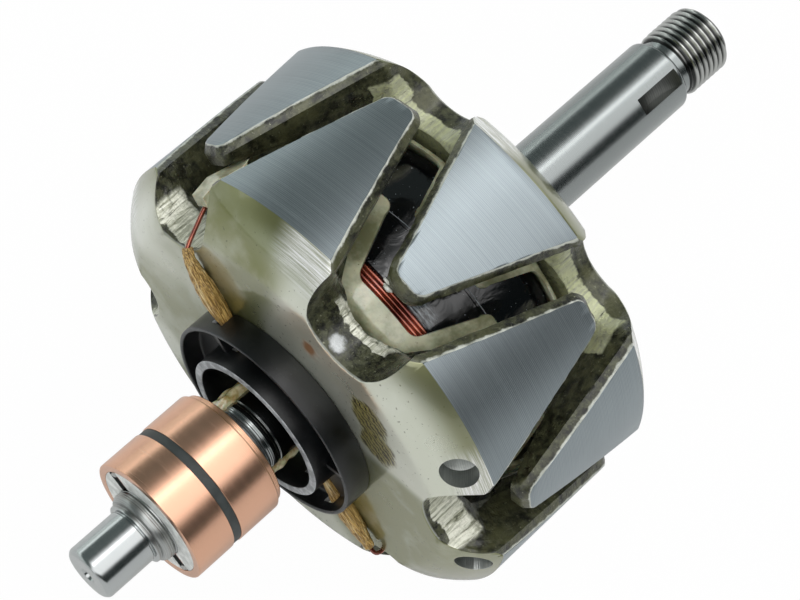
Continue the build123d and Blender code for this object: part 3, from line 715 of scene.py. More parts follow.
def tip_face(wall, strip, length):
    """Patch of the claw's end face, from its rounded edge to the claw's middle."""
    tip_left = [np.array(column[-1]) for column in wall if column[-1][2] > length - 1e-6]
    tip_side = [strip[k, -1] for k in (3, 2, 1)] + tip_left
    tip = []
    for point in tip_side:
        width, height = gap_to_claw(point[:2])
        row = []
        for share in (0.0, 0.5, 1.0):
            here = width * (1 - share)
            up = height
            if point is tip_side[0]:
                up = sqrt(BODY_R**2 - here**2)
            row.append((*beside_claw(here, up), point[2]))
        tip.append(row)
    return np.array(tip)


def outer_face(wall, strip, tip, profile, ground_start, soft):
    """Patches of the plate's flat face, its corner and the ground surface, as rays from the bore."""
    notch_edge = [column[0] for column in wall[::-1]]
    chamfer_edge = [strip[1, 0], strip[2, 0], strip[3, 0]]
    claw_edge = [strip[3, row] for row in range(1, strip.shape[1])]
    tip_edge = [tip[0, 1], tip[0, 2]]
    boundary = notch_edge + chamfer_edge + claw_edge + tip_edge
    short = len(notch_edge) + len(chamfer_edge)
    full = np.concatenate([[[BORE_R, 0.0], [20.0, 0.0], [30.0, 0.0], [37.6, 0.0]], profile])
    lengths = np.concatenate([[0], np.cumsum(np.hypot(*np.diff(full, axis=0).T))])
    start_at = lengths[3]
    end_at = lengths[-1]
    inner, outer, ground = [], [], []
    start_r = full[3, 0]
    start_angle = -1e-3
    for k, point in enumerate(boundary):
        angle = atan2(point[1], point[0])
        radius = hypot(point[0], point[1])
        clear = angle
        if k < len(notch_edge):
            bend = max(atan2(point[1], point[0] - NOTCH_CENTRE), pi / 2)
            clear = bend - np.arccos(min(1.0, (NOTCH_R + NOTCH_CENTRE * cos(bend)) / start_r)) + 0.004
        start_angle = max(angle, clear, start_angle + 1e-3) if k else 0.0
        if k > len(notch_edge):
            fan_share = (angle - ray_from) / (HALF_PITCH - ray_from)
            start_angle = fan_start + fan_share * (HALF_PITCH - fan_start)
        elif k == len(notch_edge):
            fan_start = start_angle
            ray_from = angle
        begin = np.array([start_r * cos(start_angle), start_r * sin(start_angle)])
        on_ground = k >= short - 1
        finish = np.array([BODY_R * cos(angle), BODY_R * sin(angle)]) if on_ground else point[:2]
        shares_way = np.linspace(0, 1, 60)
        plan = begin[None, :] + (finish - begin)[None, :] * shares_way[:, None]
        plan_r = np.hypot(*plan.T)
        reach = end_at if on_ground else float(np.interp(radius, full[:, 0], lengths))
        inner.append([(r * cos(start_angle), r * sin(start_angle), 0.0) for r in full[:4, 0]])
        last = 0.0 if on_ground else soft
        row = []
        for way in list(np.linspace(start_at, reach - last, 16)) + [reach]:
            r = float(np.interp(way, lengths, full[:, 0]))
            share = float(np.interp(r, plan_r, shares_way))
            spot = begin * (1 - share) + finish * share
            row.append((spot[0], spot[1], float(np.interp(np.hypot(*spot), full[:, 0], full[:, 1]))))
        row[0] = inner[-1][-1]
        row[-1] = (finish[0], finish[1], ground_start) if on_ground else tuple(point)
        outer.append(row)
        if on_ground:
            span = point[2] - ground_start
            back = min(0.12, span * 0.5)
            depths = list(ground_start + (span - back) * np.linspace(0, 1, 18)) + [point[2]]
            ground.append([(BODY_R * cos(angle), BODY_R * sin(angle), depth) for depth in depths])
    return inner, outer, ground


def underside(wall, tip, length, inner_depth):
    """Patch under claw and plate, as rays from the bore to the inner edges of wall and tip."""
    edge = [column[-1] for column in wall[::-1] if column[-1][2] <= length - 1e-6]
    edge += [tip[-1, 0], tip[-1, 1], tip[-1, 2]]
    under = []
    for point in edge:
        angle = atan2(point[1], point[0])
        radius = hypot(point[0], point[1])
        radii = np.concatenate([[BORE_R, 20.0, 30.0, 37.5], np.linspace(37.9, radius, 14)])
        row = []
        for r in radii:
            depth = float(inner_depth(r)) if r < radius - 1e-6 else point[2]
            row.append((r * cos(angle), r * sin(angle), min(depth, length)))
        under.append(row)
    return np.array(under)


def half_sector(plate, length, ground_start, root_half, tip_half, soft, crisp):
    """Patches of one half-sector as grids of (x, across, depth), with a material slot each."""
    taper = (root_half - tip_half) / (length - ground_start)
    stations = (ground_start, plate + ROOT_BLEND, length + 1.0)

    def ground_and_edge(depth):
        half = root_half - taper * (depth - ground_start)
        height = sqrt(BODY_R**2 - half**2)
        ground = beside_claw(half, height)
        edge = beside_claw(half + CHAMFER_ACROSS, height - CHAMFER_DEEP)
        return ground, edge, half, height

    def foot_of(depth):
        _, _, half, height = ground_and_edge(depth)
        fall = height - CHAMFER_DEEP - ROOT_R
        return beside_claw(half + CHAMFER_ACROSS - fall * tan(radians(DRAFT)), ROOT_R)

    floor_low = ROOT_R - ROOT_RISE - ROOT_BLEND / 2
    feet = [np.array([NOTCH_CENTRE, NOTCH_R]), foot_of(stations[1]), foot_of(stations[2])]
    floors = [NOTCH_CENTRE - NOTCH_R, floor_low, floor_low]
    edges = [ground_and_edge(depth)[1] for depth in stations]

    def inner_depth(radius):
        thin = BODY_R - TIP_THICK
        rows_r = [0.0, ROOT_R - ROOT_RISE, ROOT_R, thin, thin + 0.001, BODY_R + 5]
        rows_s = [plate, plate, plate + ROOT_RISE, length, length + 5, length + 20]
        return np.interp(radius, rows_r, rows_s)

    def between(values, depth):
        """Value at a depth from the values at the three stations."""
        if depth <= stations[0]:
            return values[0]
        k = 0 if depth <= stations[1] else 1
        t = (depth - stations[k]) / (stations[k + 1] - stations[k])
        return values[k] * (1 - t) + values[k + 1] * t

    # outlines from the claw's chamfer down the flank and round to the notch floor
    line = edges[2][None, :] + (feet[2] - edges[2])[None, :] * np.linspace(0, 1, 201)[:, None]
    thick_at = float(np.interp(-(BODY_R - TIP_THICK), -np.hypot(*line.T), np.linspace(0, 1, 201)))
    flank_v = np.concatenate([[0.0, 0.05, 0.11], np.linspace(0.18, 1.0, 11)])
    flank_v = np.unique(np.append(flank_v[abs(flank_v - thick_at) > 0.03], thick_at))
    arc_count = 17
    outlines = []
    for foot, floor, edge in zip(feet, floors, edges):
        flank = edge[None, :] + (foot - edge)[None, :] * flank_v[:, None]
        outlines.append(np.concatenate([flank, arc_to_floor(foot, floor, arc_count)[1:]]))
    outlines = np.array(outlines)

    def wall_point(column, depth):
        return between(outlines[:, column], depth)

    profile = corner_profile(ground_start)

    def corner_depth(radius):
        return np.interp(radius, profile[:, 0], profile[:, 1], left=0.0)

    def deepest(column):
        low, high = plate * 0.9, length
        if np.hypot(*wall_point(column, length)) >= BODY_R - TIP_THICK - 0.08:
            return length
        for _ in range(40):
            middle = (low + high) / 2
            if middle < inner_depth(np.hypot(*wall_point(column, middle))):
                low = middle
            else:
                high = middle
        return low

    # plan of the rounded tip, and the shares of the depth where rows of points lie
    tip_rows = length - TIP_ROUND + TIP_ROUND * np.sin(np.linspace(0, pi / 2, 11))
    lean = hypot(1.0, taper)
    middle = tip_half + CHAMFER_ACROSS + taper * TIP_ROUND - TIP_ROUND * lean

    def plan_limit(depth, mix):
        """Half-width that the rounded tip leaves; mix is 0 at the chamfer's foot, 1 on the ground surface."""
        radius = TIP_ROUND - mix * CHAMFER_ACROSS / lean
        reach = depth - (length - TIP_ROUND)
        if reach <= radius * taper / lean:
            return 1e9
        return middle + sqrt(max(radius**2 - reach**2, 0.0))

    def clamp(point, depth, mix=0.0):
        limit = plan_limit(depth, mix)
        width, height = gap_to_claw(point)
        if width <= limit:
            return point
        return beside_claw(limit, height)

    columns = outlines.shape[1]
    first_low = corner_depth(np.hypot(*outlines[0, 0]))
    shares = np.concatenate([
        np.linspace(first_low, plate + ROOT_RISE, 10),
        np.linspace(plate + ROOT_RISE, length - TIP_ROUND, 22)[1:],
        tip_rows[1:],
    ])
    shares = (shares - shares[0]) / (shares[-1] - shares[0])

    def row_depth(low, high, share):
        """Depth of a row, kept a little way off the first one."""
        depth = low + (high - low) * share
        if 0 < share and depth - low < soft:
            depth = low + soft * (0.5 + 0.5 * (depth - low) / soft)
        return depth

    # the wall: flank and notch floor
    wall = []
    for column in range(columns):
        low = corner_depth(np.hypot(*outlines[0, column]))
        high = deepest(column)
        rows = []
        for share in shares:
            depth = row_depth(low, high, share)
            point = clamp(wall_point(column, depth), depth)
            rows.append((*point, depth))
        wall.append(rows)
    wall = np.array(wall)

    # the chamfer strip between the wall and the ground surface
    strip = []
    plate_ground = ground_and_edge(ground_start)[0]
    for mix in (0.0, 0.5, 1.0 - crisp, 1.0):
        plate_point = edges[0] * (1 - mix) + plate_ground * mix
        low = corner_depth(np.hypot(*plate_point)) if mix < 1 else ground_start
        far = length - mix * CHAMFER_ACROSS / lean
        rows = []
        for share in shares:
            depth = row_depth(low, far, share)
            ground = ground_and_edge(max(depth, ground_start))[0]
            point = clamp(between(edges, depth) * (1 - mix) + ground * mix, depth, mix)
            if mix == 1.0:
                width, _ = gap_to_claw(point)
                point = beside_claw(width, sqrt(BODY_R**2 - width**2))
            rows.append((*point, depth))
        strip.append(rows)
    strip = np.array(strip)

    tip = tip_face(wall, strip, length)
    inner, outer, ground = outer_face(wall, strip, tip, profile, ground_start, soft)
    under = underside(wall, tip, length, inner_depth)
    bore = [[row[0], (row[0][0], row[0][1], plate)] for row in inner]
    return [
        (np.array(inner), 0), (np.array(outer), 0), (np.array(ground), 1), (strip, 2), (wall, 2),
        (tip, 2), (under, 2), (np.array(bore), 2),
    ]


# %% [markdown]
# The patches are then placed six times with their mirror images. Forging skin isn't smooth, so the
# points of the dark surfaces move by slow noise, and the points of each outer edge slide within the
# ground or turned surface, so the grinder's cut stays round while its border wanders as it really does.

# %% Build both halves
def pole_half(name, face, inward, gap_angle, sizes, materials):
    """One pole half, placed, roughened and with its edges eased."""
    patches = half_sector(*sizes)
    points, faces, slots = [], [], []
    for sector in range(CLAWS):
        turn = radians(gap_angle + 60 * sector)
        for side in (1, -1):
            for grid, slot in patches:
                rows, columns = grid.shape[:2]
                base = len(points)
                flat = grid.reshape(-1, 3)
                x = flat[:, 0] * cos(turn) - side * flat[:, 1] * sin(turn)
                z = flat[:, 0] * sin(turn) + side * flat[:, 1] * cos(turn)
                y = face + inward * flat[:, 2]
                points += list(zip(x.tolist(), y.tolist(), z.tolist()))
                made = grid_faces(rows, columns, base)
                faces += made
                slots += [slot] * len(made)
    made = make_object(name, points, faces, materials, slots)
    work = bmesh.new()
    work.from_mesh(made.data)
    moves = {}
    for vertex in work.verts:
        kinds = {f.material_index for f in vertex.link_faces}
        if 2 not in kinds or vertex.is_boundary:
            continue
        place = vertex.co * 1000
        rough = Vector(noise.noise_vector(place / 2.6)) * 0.14
        rough += Vector(noise.noise_vector(place / 0.9 + Vector((9, 2, 5)))) * 0.10
        if kinds == {2}:
            moves[vertex] = vertex.normal * (rough.x * 1.3)
            continue
        outer = Vector((0, 0, 0))
        wall = Vector((0, 0, 0))
        for f in vertex.link_faces:
            if f.material_index == 2:
                wall += f.normal
            else:
                outer += f.normal
        outer.normalize()
        wall.normalize()
        ease = 0.11 if 0 in kinds else 0.04
        slide = rough - outer * rough.dot(outer)
        moves[vertex] = slide * 0.9 - (outer + wall) * ease
    for vertex, move in moves.items():
        vertex.co += move * MM
    work.to_mesh(made.data)
    work.free()
    made.data.set_sharp_from_angle(angle=radians(50))
    return made


# vector noise starts from a random place unless it is seeded, and the seed keeps every run alike
noise.seed_set(11)
# plate, claw length, start of the ground surface, half-widths at root and tip, softness, crispness
slip_sizes = (8.4, 42.8, 7.7, 14.84, 3.07, 0.45, 0.1)
drive_sizes = (7.6, 41.2, 7.4, 14.28, 2.67, 0.45, 0.1)
slip_coats = [slip_varnish, ground_steel, slip_skin]
drive_coats = [drive_varnish, ground_steel, drive_skin]
pole_slip = pole_half("pole_half_slip", SLIP_FACE, 1, SLIP_CLAW_ANGLE + 30, slip_sizes, slip_coats)
pole_drive = pole_half("pole_half_drive", 0.0, -1, DRIVE_CLAW_ANGLE + 30, drive_sizes, drive_coats)
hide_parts("pole_slip_end")
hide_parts("pole_drive_end")
print("pole halves:", len(pole_slip.data.polygons), "and", len(pole_drive.data.polygons), "faces")

# %% [markdown]
# Two shallow pits were drilled into the slip-side corner to balance the rotor. A drill leaves a
# straight wall and a cone at the bottom, so the tool that cuts them has that shape.

# %% Balance drillings
drilled_steel = turned_metal(
    "drilled_steel_pits", "#cfd2cf", "#7f837f", 0.6, 0.40, line=0.1, bump=1.0, anisotropic=0.0)
pole_slip.data.materials.append(drilled_steel)
# the drill's outline as (radius, height above the pit's mouth)
PIT_LINE = [(0.0, -6.9), (3.75, -5.0), (3.75, -0.2), (4.05, 0.35), (4.4, 4.0), (0.0, 4.0)]
PIT_SIDES = 64
for side in (-1, 1):
    angle = DRIVE_CLAW_ANGLE + side * 19.2
    mouth = Vector(at(49.1, angle, SLIP_FACE + 3.8))
    way = (directions(angle)[0] - Vector((0, 1, 0))).normalized()
    points = []
    for r, h in PIT_LINE:
        for k in range(PIT_SIDES):
            turn = 2 * pi * k / PIT_SIDES
            points.append((r * cos(turn), h, r * sin(turn)))
    faces = grid_faces(len(PIT_LINE), PIT_SIDES, closed=True)
    drill = make_object("drill", points, faces, slip_coats + [drilled_steel], [3] * len(faces))
    turn = Vector((0, 1, 0)).rotation_difference(way).to_matrix().to_4x4()
    drill.data.transform(Matrix.Translation(mouth * MM) @ turn)
    cut(pole_slip, drill)
print("pits drilled, faces now", len(pole_slip.data.polygons))

# %% [markdown]
# ## The coil former
# The former is a moulded bobbin. Its slip-side flange turns over into a broad collar and its drive-side
# one into a narrow rim, and from both a thin leaf lies under every claw to keep the wire off the iron.
# It is meshed like a star: each column runs out along the flange and ends on the leaf's own outline.

# %% Former
FORMER_SHEET = 0.9
CORE_R = 27.02


def leaf_outline(half_gap_root, half_gap_end, leaf_length, leaf_round, valley):
    """Curve of (half_gap, way along the leaf) from the valley's middle to the leaf's middle."""
    slope = (half_gap_end - half_gap_root) / (leaf_length - leaf_round)
    line = []
    for t in np.linspace(0, 1, 8)[:-1]:
        line.append((t * (half_gap_root - valley * 0.8), 0.0))
    corner = Vector((half_gap_root, 0))
    before = Vector((half_gap_root - valley * 0.8, 0))
    after = corner + Vector((slope, 1)).normalized() * valley * 0.8
    for t in np.linspace(0, 1, 7):
        line.append(tuple(before * (1 - t) ** 2 + corner * 2 * t * (1 - t) + after * t * t))
    for t in np.linspace(0, 1, 14)[1:]:
        way = after.y + (leaf_length - leaf_round - after.y) * t
        line.append((half_gap_root + slope * way, way))
    for t in np.linspace(0, pi / 2, 7)[1:]:
        gap = half_gap_end + leaf_round * (1 - cos(t))
        line.append((gap, leaf_length - leaf_round + leaf_round * sin(t)))
    return line


def former_section(dish, rim, band, leaf):
    """Line of (radius, depth) from the barrel along the flange, over the collar and down the leaf."""
    corner_r = rim + (band - 1.1) * tan(radians(13.0))
    return np.array(round_corners([
        (CORE_R + 1.0, 0.0), (29.0, 0.0), (rim - 1.8, dish), (rim, dish + 1.1, 1.2),
        (corner_r, dish + band, 1.5), (corner_r + leaf * tan(radians(20.5)), dish + band + leaf),
    ], 0.8, 4))


def former_column(line, ways, way_end, wave_at, rows=26):
    """One column of points (radius, depth, wave): out along the top, round the end and back below."""
    top, bottom = [], []
    for share in np.linspace(0, 1, rows):
        way = way_end * share
        wave = wave_at(way)
        r = float(np.interp(way, ways, line[:, 0]))
        s = float(np.interp(way, ways, line[:, 1]))
        ahead = min(way + 0.2, ways[-1])
        behind = max(way - 0.2, 0)
        run = np.array([
            np.interp(ahead, ways, line[:, k]) - np.interp(behind, ways, line[:, k]) for k in (0, 1)
        ])
        run /= np.linalg.norm(run)
        top.append((r, s, wave * share))
        bottom.append((r - run[1] * FORMER_SHEET, s + run[0] * FORMER_SHEET, wave * share))
    end = ((top[-1][0] + bottom[-1][0]) / 2 + 0.12, (top[-1][1] + bottom[-1][1]) / 2 + 0.12, 0)
    return top + [end] + bottom[::-1]


def former_side(flange, into, dish, rim, band, leaf, half_root, half_end, leaf_angle):
    """Flange, collar and six leaves of one side, as a closed shell."""
    line = former_section(dish, rim, band, leaf)
    ways = np.concatenate([[0], np.cumsum(np.hypot(*np.diff(line, axis=0).T))])
    band_end = float(np.interp(dish + band, line[:, 1], ways))
    stretch = (ways[-1] - band_end) / leaf
    ends = []
    for gap, along in leaf_outline(half_root, half_end, leaf, 2.2, 2.2):
        way_end = band_end + along * stretch
        radius = float(np.interp(way_end, ways, line[:, 0]))
        ends.append((min(np.arcsin(min(gap / radius, 0.5)), HALF_PITCH), way_end))
    ends.append((HALF_PITCH, ends[-1][1]))
    points, faces = [], []
    for sector in range(CLAWS):
        middle = radians(leaf_angle + 30 + 60 * sector)
        for side in (1, -1):
            first = len(points)
            for angle, way_end in ends:
                def wave_at(way, angle=angle):
                    return 0.10 * ridge(way + sector * 9.0, 5.0, 1.0 + into + side * angle * 3)

                turn = middle + side * angle
                for r, s, w in former_column(line, ways, way_end, wave_at):
                    points.append(((r + w) * cos(turn), flange + into * s, (r + w) * sin(turn)))
            faces += grid_faces(len(ends), (len(points) - first) // len(ends), first)
    return points, faces


# flange station, way inwards, dish, rim radius, collar, leaf length, half-gaps at its root and end, angle
points, faces = former_side(-46.18, 1, 1.5, 36.4, 4.9, 13.7, 7.8, 13.1, SLIP_CLAW_ANGLE)
former_slip = make_object("former_flange_slip", points, faces, [former_nylon], crease=60)
points, faces = former_side(-7.92, -1, 0.9, 37.4, 1.9, 14.1, 5.8, 11.9, DRIVE_CLAW_ANGLE)
former_drive = make_object("former_flange_drive", points, faces, [former_nylon], crease=60)
barrel_line = [(CORE_R, -46.0), (28.0, -46.0), (28.0, -8.1), (CORE_R, -8.1)]
former_barrel = lathe("former_barrel", barrel_line, [former_nylon], segments=96)
for piece in (former_slip, former_drive, former_barrel):
    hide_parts("coil_former")
print("former sides:", len(former_slip.data.polygons), len(former_drive.data.polygons), "faces")

# %% [markdown]
# ## The coil
# Between the claws the coil shows its last bare turns and then a black film wound over the rest. The
# turns are real rings of enamelled wire, 0.95 mm thick, and the film has a few soft wrinkles and a
# lapped edge.

# %% Turns and wrap
TURN_R = 33.0
TURN_STEPS = 160
WIRE_SIDES = 10
# drawn a little thicker than the wire, so that neighbouring turns touch
DRAWN_WIRE_R = 0.49


def torus_rows(radius, wire, y):
    """Points of one round turn of wire."""
    out = []
    for k in range(WIRE_SIDES):
        turn = 2 * pi * k / WIRE_SIDES
        for j in range(TURN_STEPS):
            place = 360 * j / TURN_STEPS
            lift = 0.05 * ridge(place + y * 31, 17.0, 3.0)
            out.append(at(radius + lift + wire * cos(turn), place, y + wire * sin(turn)))
    return out


def torus_faces(base):
    """Faces of one turn, closed both ways."""
    out = []
    for k in range(WIRE_SIDES):
        here = base + k * TURN_STEPS
        above = base + (k + 1) % WIRE_SIDES * TURN_STEPS
        for j in range(TURN_STEPS):
            after = (j + 1) % TURN_STEPS
            out.append((here + j, here + after, above + after, above + j))
    return out


points, faces = [], []
turn_y = -34.95 - WIRE_R
turns = 0
while turn_y > -43.2:
    faces += torus_faces(len(points))
    points += torus_rows(TURN_R, DRAWN_WIRE_R, turn_y)
    turn_y -= 2 * WIRE_R
    turns += 1
coil_turns = make_object("coil_bare_turns", points, faces, [enamel], crease=80)
bulk_line = [(28.1, -43.7), (32.9, -43.7), (32.9, -9.8), (28.1, -9.8)]
coil_bulk = lathe("coil_bulk", bulk_line, [enamel], segments=128)
for piece in (coil_turns, coil_bulk):
    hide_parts("field_winding")
print(turns, "bare turns of wire")

wrap_line = [(33.02, -34.86), (33.55, -34.84), (FILM_R, -34.6)]
wrap_line += [(FILM_R, y) for y in np.linspace(-34.0, -10.5, 90)]
wrap_line += [(FILM_R, -9.9), (33.02, -9.76)]
coil_film = lathe("coil_film_wrap", wrap_line, [wrap_film], segments=240, radius=0.1, crease=60)
for vertex in coil_film.data.vertices:
    place = vertex.co * 1000
    angle = degrees(atan2(place.z, place.x))
    away = Vector((place.x, 0, place.z)).normalized()
    lap_at = LAP_Y + LAP_SWAY * sin(radians(angle * 2 + LAP_PHASE))
    lap = 0.14 if lap_at - 0.7 < place.y < lap_at else 0.0
    crumple = 0.12 * noise.noise(Vector((angle / 10, place.y / 7, 1.7)))
    if place.y > -34.5 and hypot(place.x, place.z) > 33.3:
        vertex.co += away * (lap + crumple - 0.1) * MM
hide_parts("coil_wrap")
print("film wrap:", len(coil_film.data.polygons), "faces")

# %% [markdown]
# ## The shaft
# The shaft is one lathe-turned bar. Its thread is a true helix here: the outline of one pitch is swept
# round, and it fades in and out at both ends as a rolled thread does. Slots and grooves are cut last.

# %% Shaft body, key slot and grooves
JOURNAL_R = 6.0
# the shaft's outline as (radius, station) and, where it matters, the corner's own rounding
shaft_line = [
    (0.02, -102.67), (0.8, -103.4), (0.8, -105.47), (1.7, SLIP_END, 0.1), (5.27, SLIP_END, 0.25),
    (JOURNAL_R, -106.44, 0.4), (JOURNAL_R, -95.6), (5.75, -95.45), (5.75, -95.2), (6.9, COLLAR_FRONT, 0.15),
    (6.95, -94.6, 0.1), (6.7, -94.45), (6.7, -94.25), (7.5, -94.0, 0.2), (7.95, -93.2, 0.2),
    (NECK_R, -91.9, 0.1), (7.75, -91.7), (7.75, -91.4), (NECK_R, -91.2), (NECK_R, -66.6),
    (7.8, -66.5), (7.8, -65.9), (NECK_R, -65.8), (NECK_R, -64.2), (7.82, -64.1), (7.82, -63.5),
    (NECK_R, -63.4), (NECK_R, -54.95), (9.0, -54.9), (9.0, 0.0), (8.6, 0.05), (SEAT_R, 0.2),
    (SEAT_R, 57.67, 0.4), (7.8, SEAT_END, 0.2), (6.9, 58.45, 0.3), (6.9, 60.7, 0.3), (7.2, UNDERCUT_END),
    (7.25, 71.6), (6.6, 73.0, 0.4), (6.2, DRIVE_END, 0.2), (1.7, DRIVE_END), (0.8, 71.5), (0.8, 69.4),
    (0.02, 68.7),
]


def shaft_slot(_, y):
    """Material of the shaft by its station: journal, collar, neck, seat, then thread."""
    if y < -95.0:
        return 0
    if y < -91.3:
        return 1
    if y < -50.0:
        return 4
    if y < 60.0:
        return 2
    return 3


shaft_metals = [journal_steel, collar_steel, shaft_steel, thread_steel, neck_steel, keyway_steel]
shaft = lathe("shaft_body", shaft_line, shaft_metals, closed=False, slot_of=shaft_slot, radius=0.06)
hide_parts("shaft")


def box_tool(name, angle, low, high):
    """Box between two corners (out, along, across) at an angle about the shaft, as a cutting tool."""
    out, across = directions(angle)
    points = []
    for i in (low[0], high[0]):
        for j in (low[1], high[1]):
            for k in (low[2], high[2]):
                points.append(tuple(out * i + Vector((0, 1, 0)) * j + across * k))
    faces = [(0, 1, 3, 2), (4, 6, 7, 5), (0, 4, 5, 1), (2, 3, 7, 6), (0, 2, 6, 4), (1, 5, 7, 3)]
    return make_object(name, points, faces, shaft_metals, [2] * 6)


KEY_CUTTER_R = 6.5
KEY_DEPTH = 3.8
KEY_WIDTH = 4.0
KEY_SIDES = 96
key_dir, key_side = directions(KEY_ANGLE)
key_out = SEAT_R - KEY_DEPTH + KEY_CUTTER_R
key_y = SEAT_END - 0.7 - KEY_CUTTER_R
points = []
for side in (-KEY_WIDTH / 2, KEY_WIDTH / 2):
    for k in range(KEY_SIDES):
        turn = 2 * pi * k / KEY_SIDES
        out = key_dir * (key_out + KEY_CUTTER_R * cos(turn))
        points.append(tuple(out + Vector((0, 1, 0)) * (key_y + KEY_CUTTER_R * sin(turn)) + key_side * side))
faces = grid_faces(2, KEY_SIDES, closed=True)
faces += [tuple(range(KEY_SIDES)), tuple(range(2 * KEY_SIDES - 1, KEY_SIDES - 1, -1))]
key_cutter = make_object("key_cutter", points, faces, shaft_metals, [5] * len(faces))
cut(shaft, key_cutter)
for angle in (START_GROOVE, FINISH_GROOVE):
    cut(shaft, box_tool("groove", angle, (6.0, CARRIER_FRONT - 0.03, -1.5), (9.0, -55.8, 1.5)))
print("shaft:", len(shaft.data.polygons), "faces")

# %% Helical thread
PITCH = 1.5
ROOT_OF_THREAD = 7.2
RING_STEPS = 72
# one crest as (height, way along) from its middle
tooth = [
    (0.0, -0.75), (0.0, -0.66), (0.42, -0.3), (0.66, -0.14), (0.72, 0.0), (0.66, 0.14), (0.42, 0.3),
    (0.0, 0.66), (0.0, 0.75),
]
turns_total = (72.4 - 60.6) / PITCH
points = []
count = int(turns_total * RING_STEPS)
for k in range(count + 1):
    turn = k / RING_STEPS
    y = UNDERCUT_END + turn * PITCH
    fade = max(min(1.0, turn / 0.5, (turns_total - turn) / 0.7), 0)
    bevel = min(1.0, max(0.0, (73.3 - y) / 1.2))
    for height, offset in tooth:
        r = ROOT_OF_THREAD + height * 1.1 * fade * bevel
        points.append(at(r, 360 * turn, min(max(y + offset, 60.75), 73.0)))
faces = grid_faces(count + 1, len(tooth))
thread = make_object("pulley_thread_helix", points, faces, [thread_steel], crease=60)
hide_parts("shaft")
print("thread turns:", round(turns_total, 2))

# %% [markdown]
# ## Slip rings and their carrier
# The two copper rings are turned after they are pressed on their moulded carrier. Brushes polish their
# tracks, so they are the brightest pieces. The dark step between them is the carrier itself.

# %% Rings and carrier
CARRIER_R = 12.4
outer_ring = lathe("slip_ring_outer_copper", [
    (12.42, CARRIER_FRONT), (RING_R, CARRIER_FRONT, 0.3), (RING_R, OUTER_RING_BACK - 0.02, 0.25),
    (12.42, OUTER_RING_BACK - 0.02),
], [ring_copper], segments=256)
inner_ring = lathe("slip_ring_inner_copper", [
    (12.42, INNER_RING_FRONT + 0.02), (RING_R, INNER_RING_FRONT + 0.02, 0.25), (RING_R, INNER_RING_BACK, 0.3),
    (13.3, INNER_RING_BACK + 0.02, 0.15), (13.3, CARRIER_BACK, 0.25), (12.42, CARRIER_BACK),
], [ring_copper], segments=256)
carrier = lathe("slip_ring_carrier_moulding", [
    (8.02, CARRIER_FRONT + 0.05), (CARRIER_R, CARRIER_FRONT + 0.05), (CARRIER_R, OUTER_RING_BACK),
    (14.0, OUTER_RING_BACK, 0.05), (14.0, INNER_RING_FRONT, 0.05), (CARRIER_R, INNER_RING_FRONT),
    (CARRIER_R, CARRIER_BACK), (8.02, CARRIER_BACK),
], [carrier_phenolic, carrier_face], segments=192, slot_of=lambda r, y: 1 if y < CARRIER_FRONT + 0.2 else 0)
for angle in (START_GROOVE, FINISH_GROOVE):
    cut(carrier, box_tool("slot", angle, (7.0, -93.0, -1.5), (12.39, -89.77, 1.5)))
for piece, node, name in (
    (outer_ring, "slip_ring_outer", "ring_copper"),
    (inner_ring, "slip_ring_inner", "ring_copper"),
    (carrier, "slip_ring_carrier", "carrier_plastic"),
):
    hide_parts(node)
print("slip rings and carrier ready")

# %% [markdown]
# ## The lead cup
# A black moulded dish on the slip-side plate guides the two leads. Its rim and hub are rubbed grey.

# %% Cup
CUP_BASE = SLIP_FACE - 0.05
CUP_RIM = SLIP_FACE - 6.2
CUP_HUB = SLIP_FACE - 8.2
RIB_TOP = SLIP_FACE - 4.9


def cup_slot(radius, y):
    """Material of the cup by place: body, outer rim or rubbed hub face."""
    if y < SLIP_FACE - 8.05:
        return 2
    return 1 if y < SLIP_FACE - 6.0 and radius > 20 else 0


cup = lathe("lead_cup_moulding", [
    (15.13, CUP_BASE), (23.73, CUP_BASE, 0.3), (23.73, CUP_RIM, 0.3), (22.83, CUP_RIM, 0.3),
    (22.75, CUP_BASE - 1.5, 0.6), (17.1, CUP_BASE - 1.5, 0.6), (17.03, CUP_HUB, 0.25), (15.13, CUP_HUB, 0.25),
], [cup_nylon, cup_rim, cup_hub], segments=192, slot_of=cup_slot)
for angle in (START_LEAD, FINISH_LEAD):
    cut(cup, box_tool("door", angle, (14.0, CUP_BASE - 3.8, -1.8), (25.0, CUP_BASE + 1.0, 1.8)))
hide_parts("lead_cup")
rib_line = round_corners(
    [(16.9, CUP_BASE - 1.4), (16.9, RIB_TOP), (22.9, RIB_TOP), (22.9, CUP_BASE - 1.4)], 0.3)
for k in range(3):
    out, side = directions(DRIVE_CLAW_ANGLE + 120 * k)
    points = []
    for r, y in rib_line:
        for across in (-0.6, -0.5, 0.5, 0.6):
            inset = 0.1 if abs(across) > 0.55 else 0.0
            points.append(tuple(out * r + Vector((0, y + inset, 0)) + side * across))
    faces = grid_faces(len(points) // 4, 4)
    faces += [tuple(range(0, len(points), 4)), tuple(range(len(points) - 1, 0, -4))]
    rib = make_object(f"cup_rib_{k + 1}", points, faces, [cup_nylon])
    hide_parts("lead_cup")
print("cup ready")

# %% [markdown]
# ## Leads, sleeves, resin and solder
# Each lead leaves the coil, climbs a notch, crosses the plate inside a sleeve and runs along a groove in
# the neck to its ring. A lead is a smooth tube that follows its route, a sleeve a slightly uneven one.

# %% Tubes along a route
def smooth_route(route, reach=2.0, steps=8):
    """Route with its corners rounded, as a list of vectors."""
    out = [Vector(route[0])]
    for before, corner, after in zip(route, route[1:], route[2:]):
        here = Vector(corner)
        back = Vector(before) - here
        ahead = Vector(after) - here
        size = min(reach, back.length * 0.45, ahead.length * 0.45)
        first = here + back.normalized() * size
        last = here + ahead.normalized() * size
        for k in range(steps + 1):
            t = k / steps
            out.append(first * (1 - t) ** 2 + here * 2 * t * (1 - t) + last * t * t)
    out.append(Vector(route[-1]))
    return out


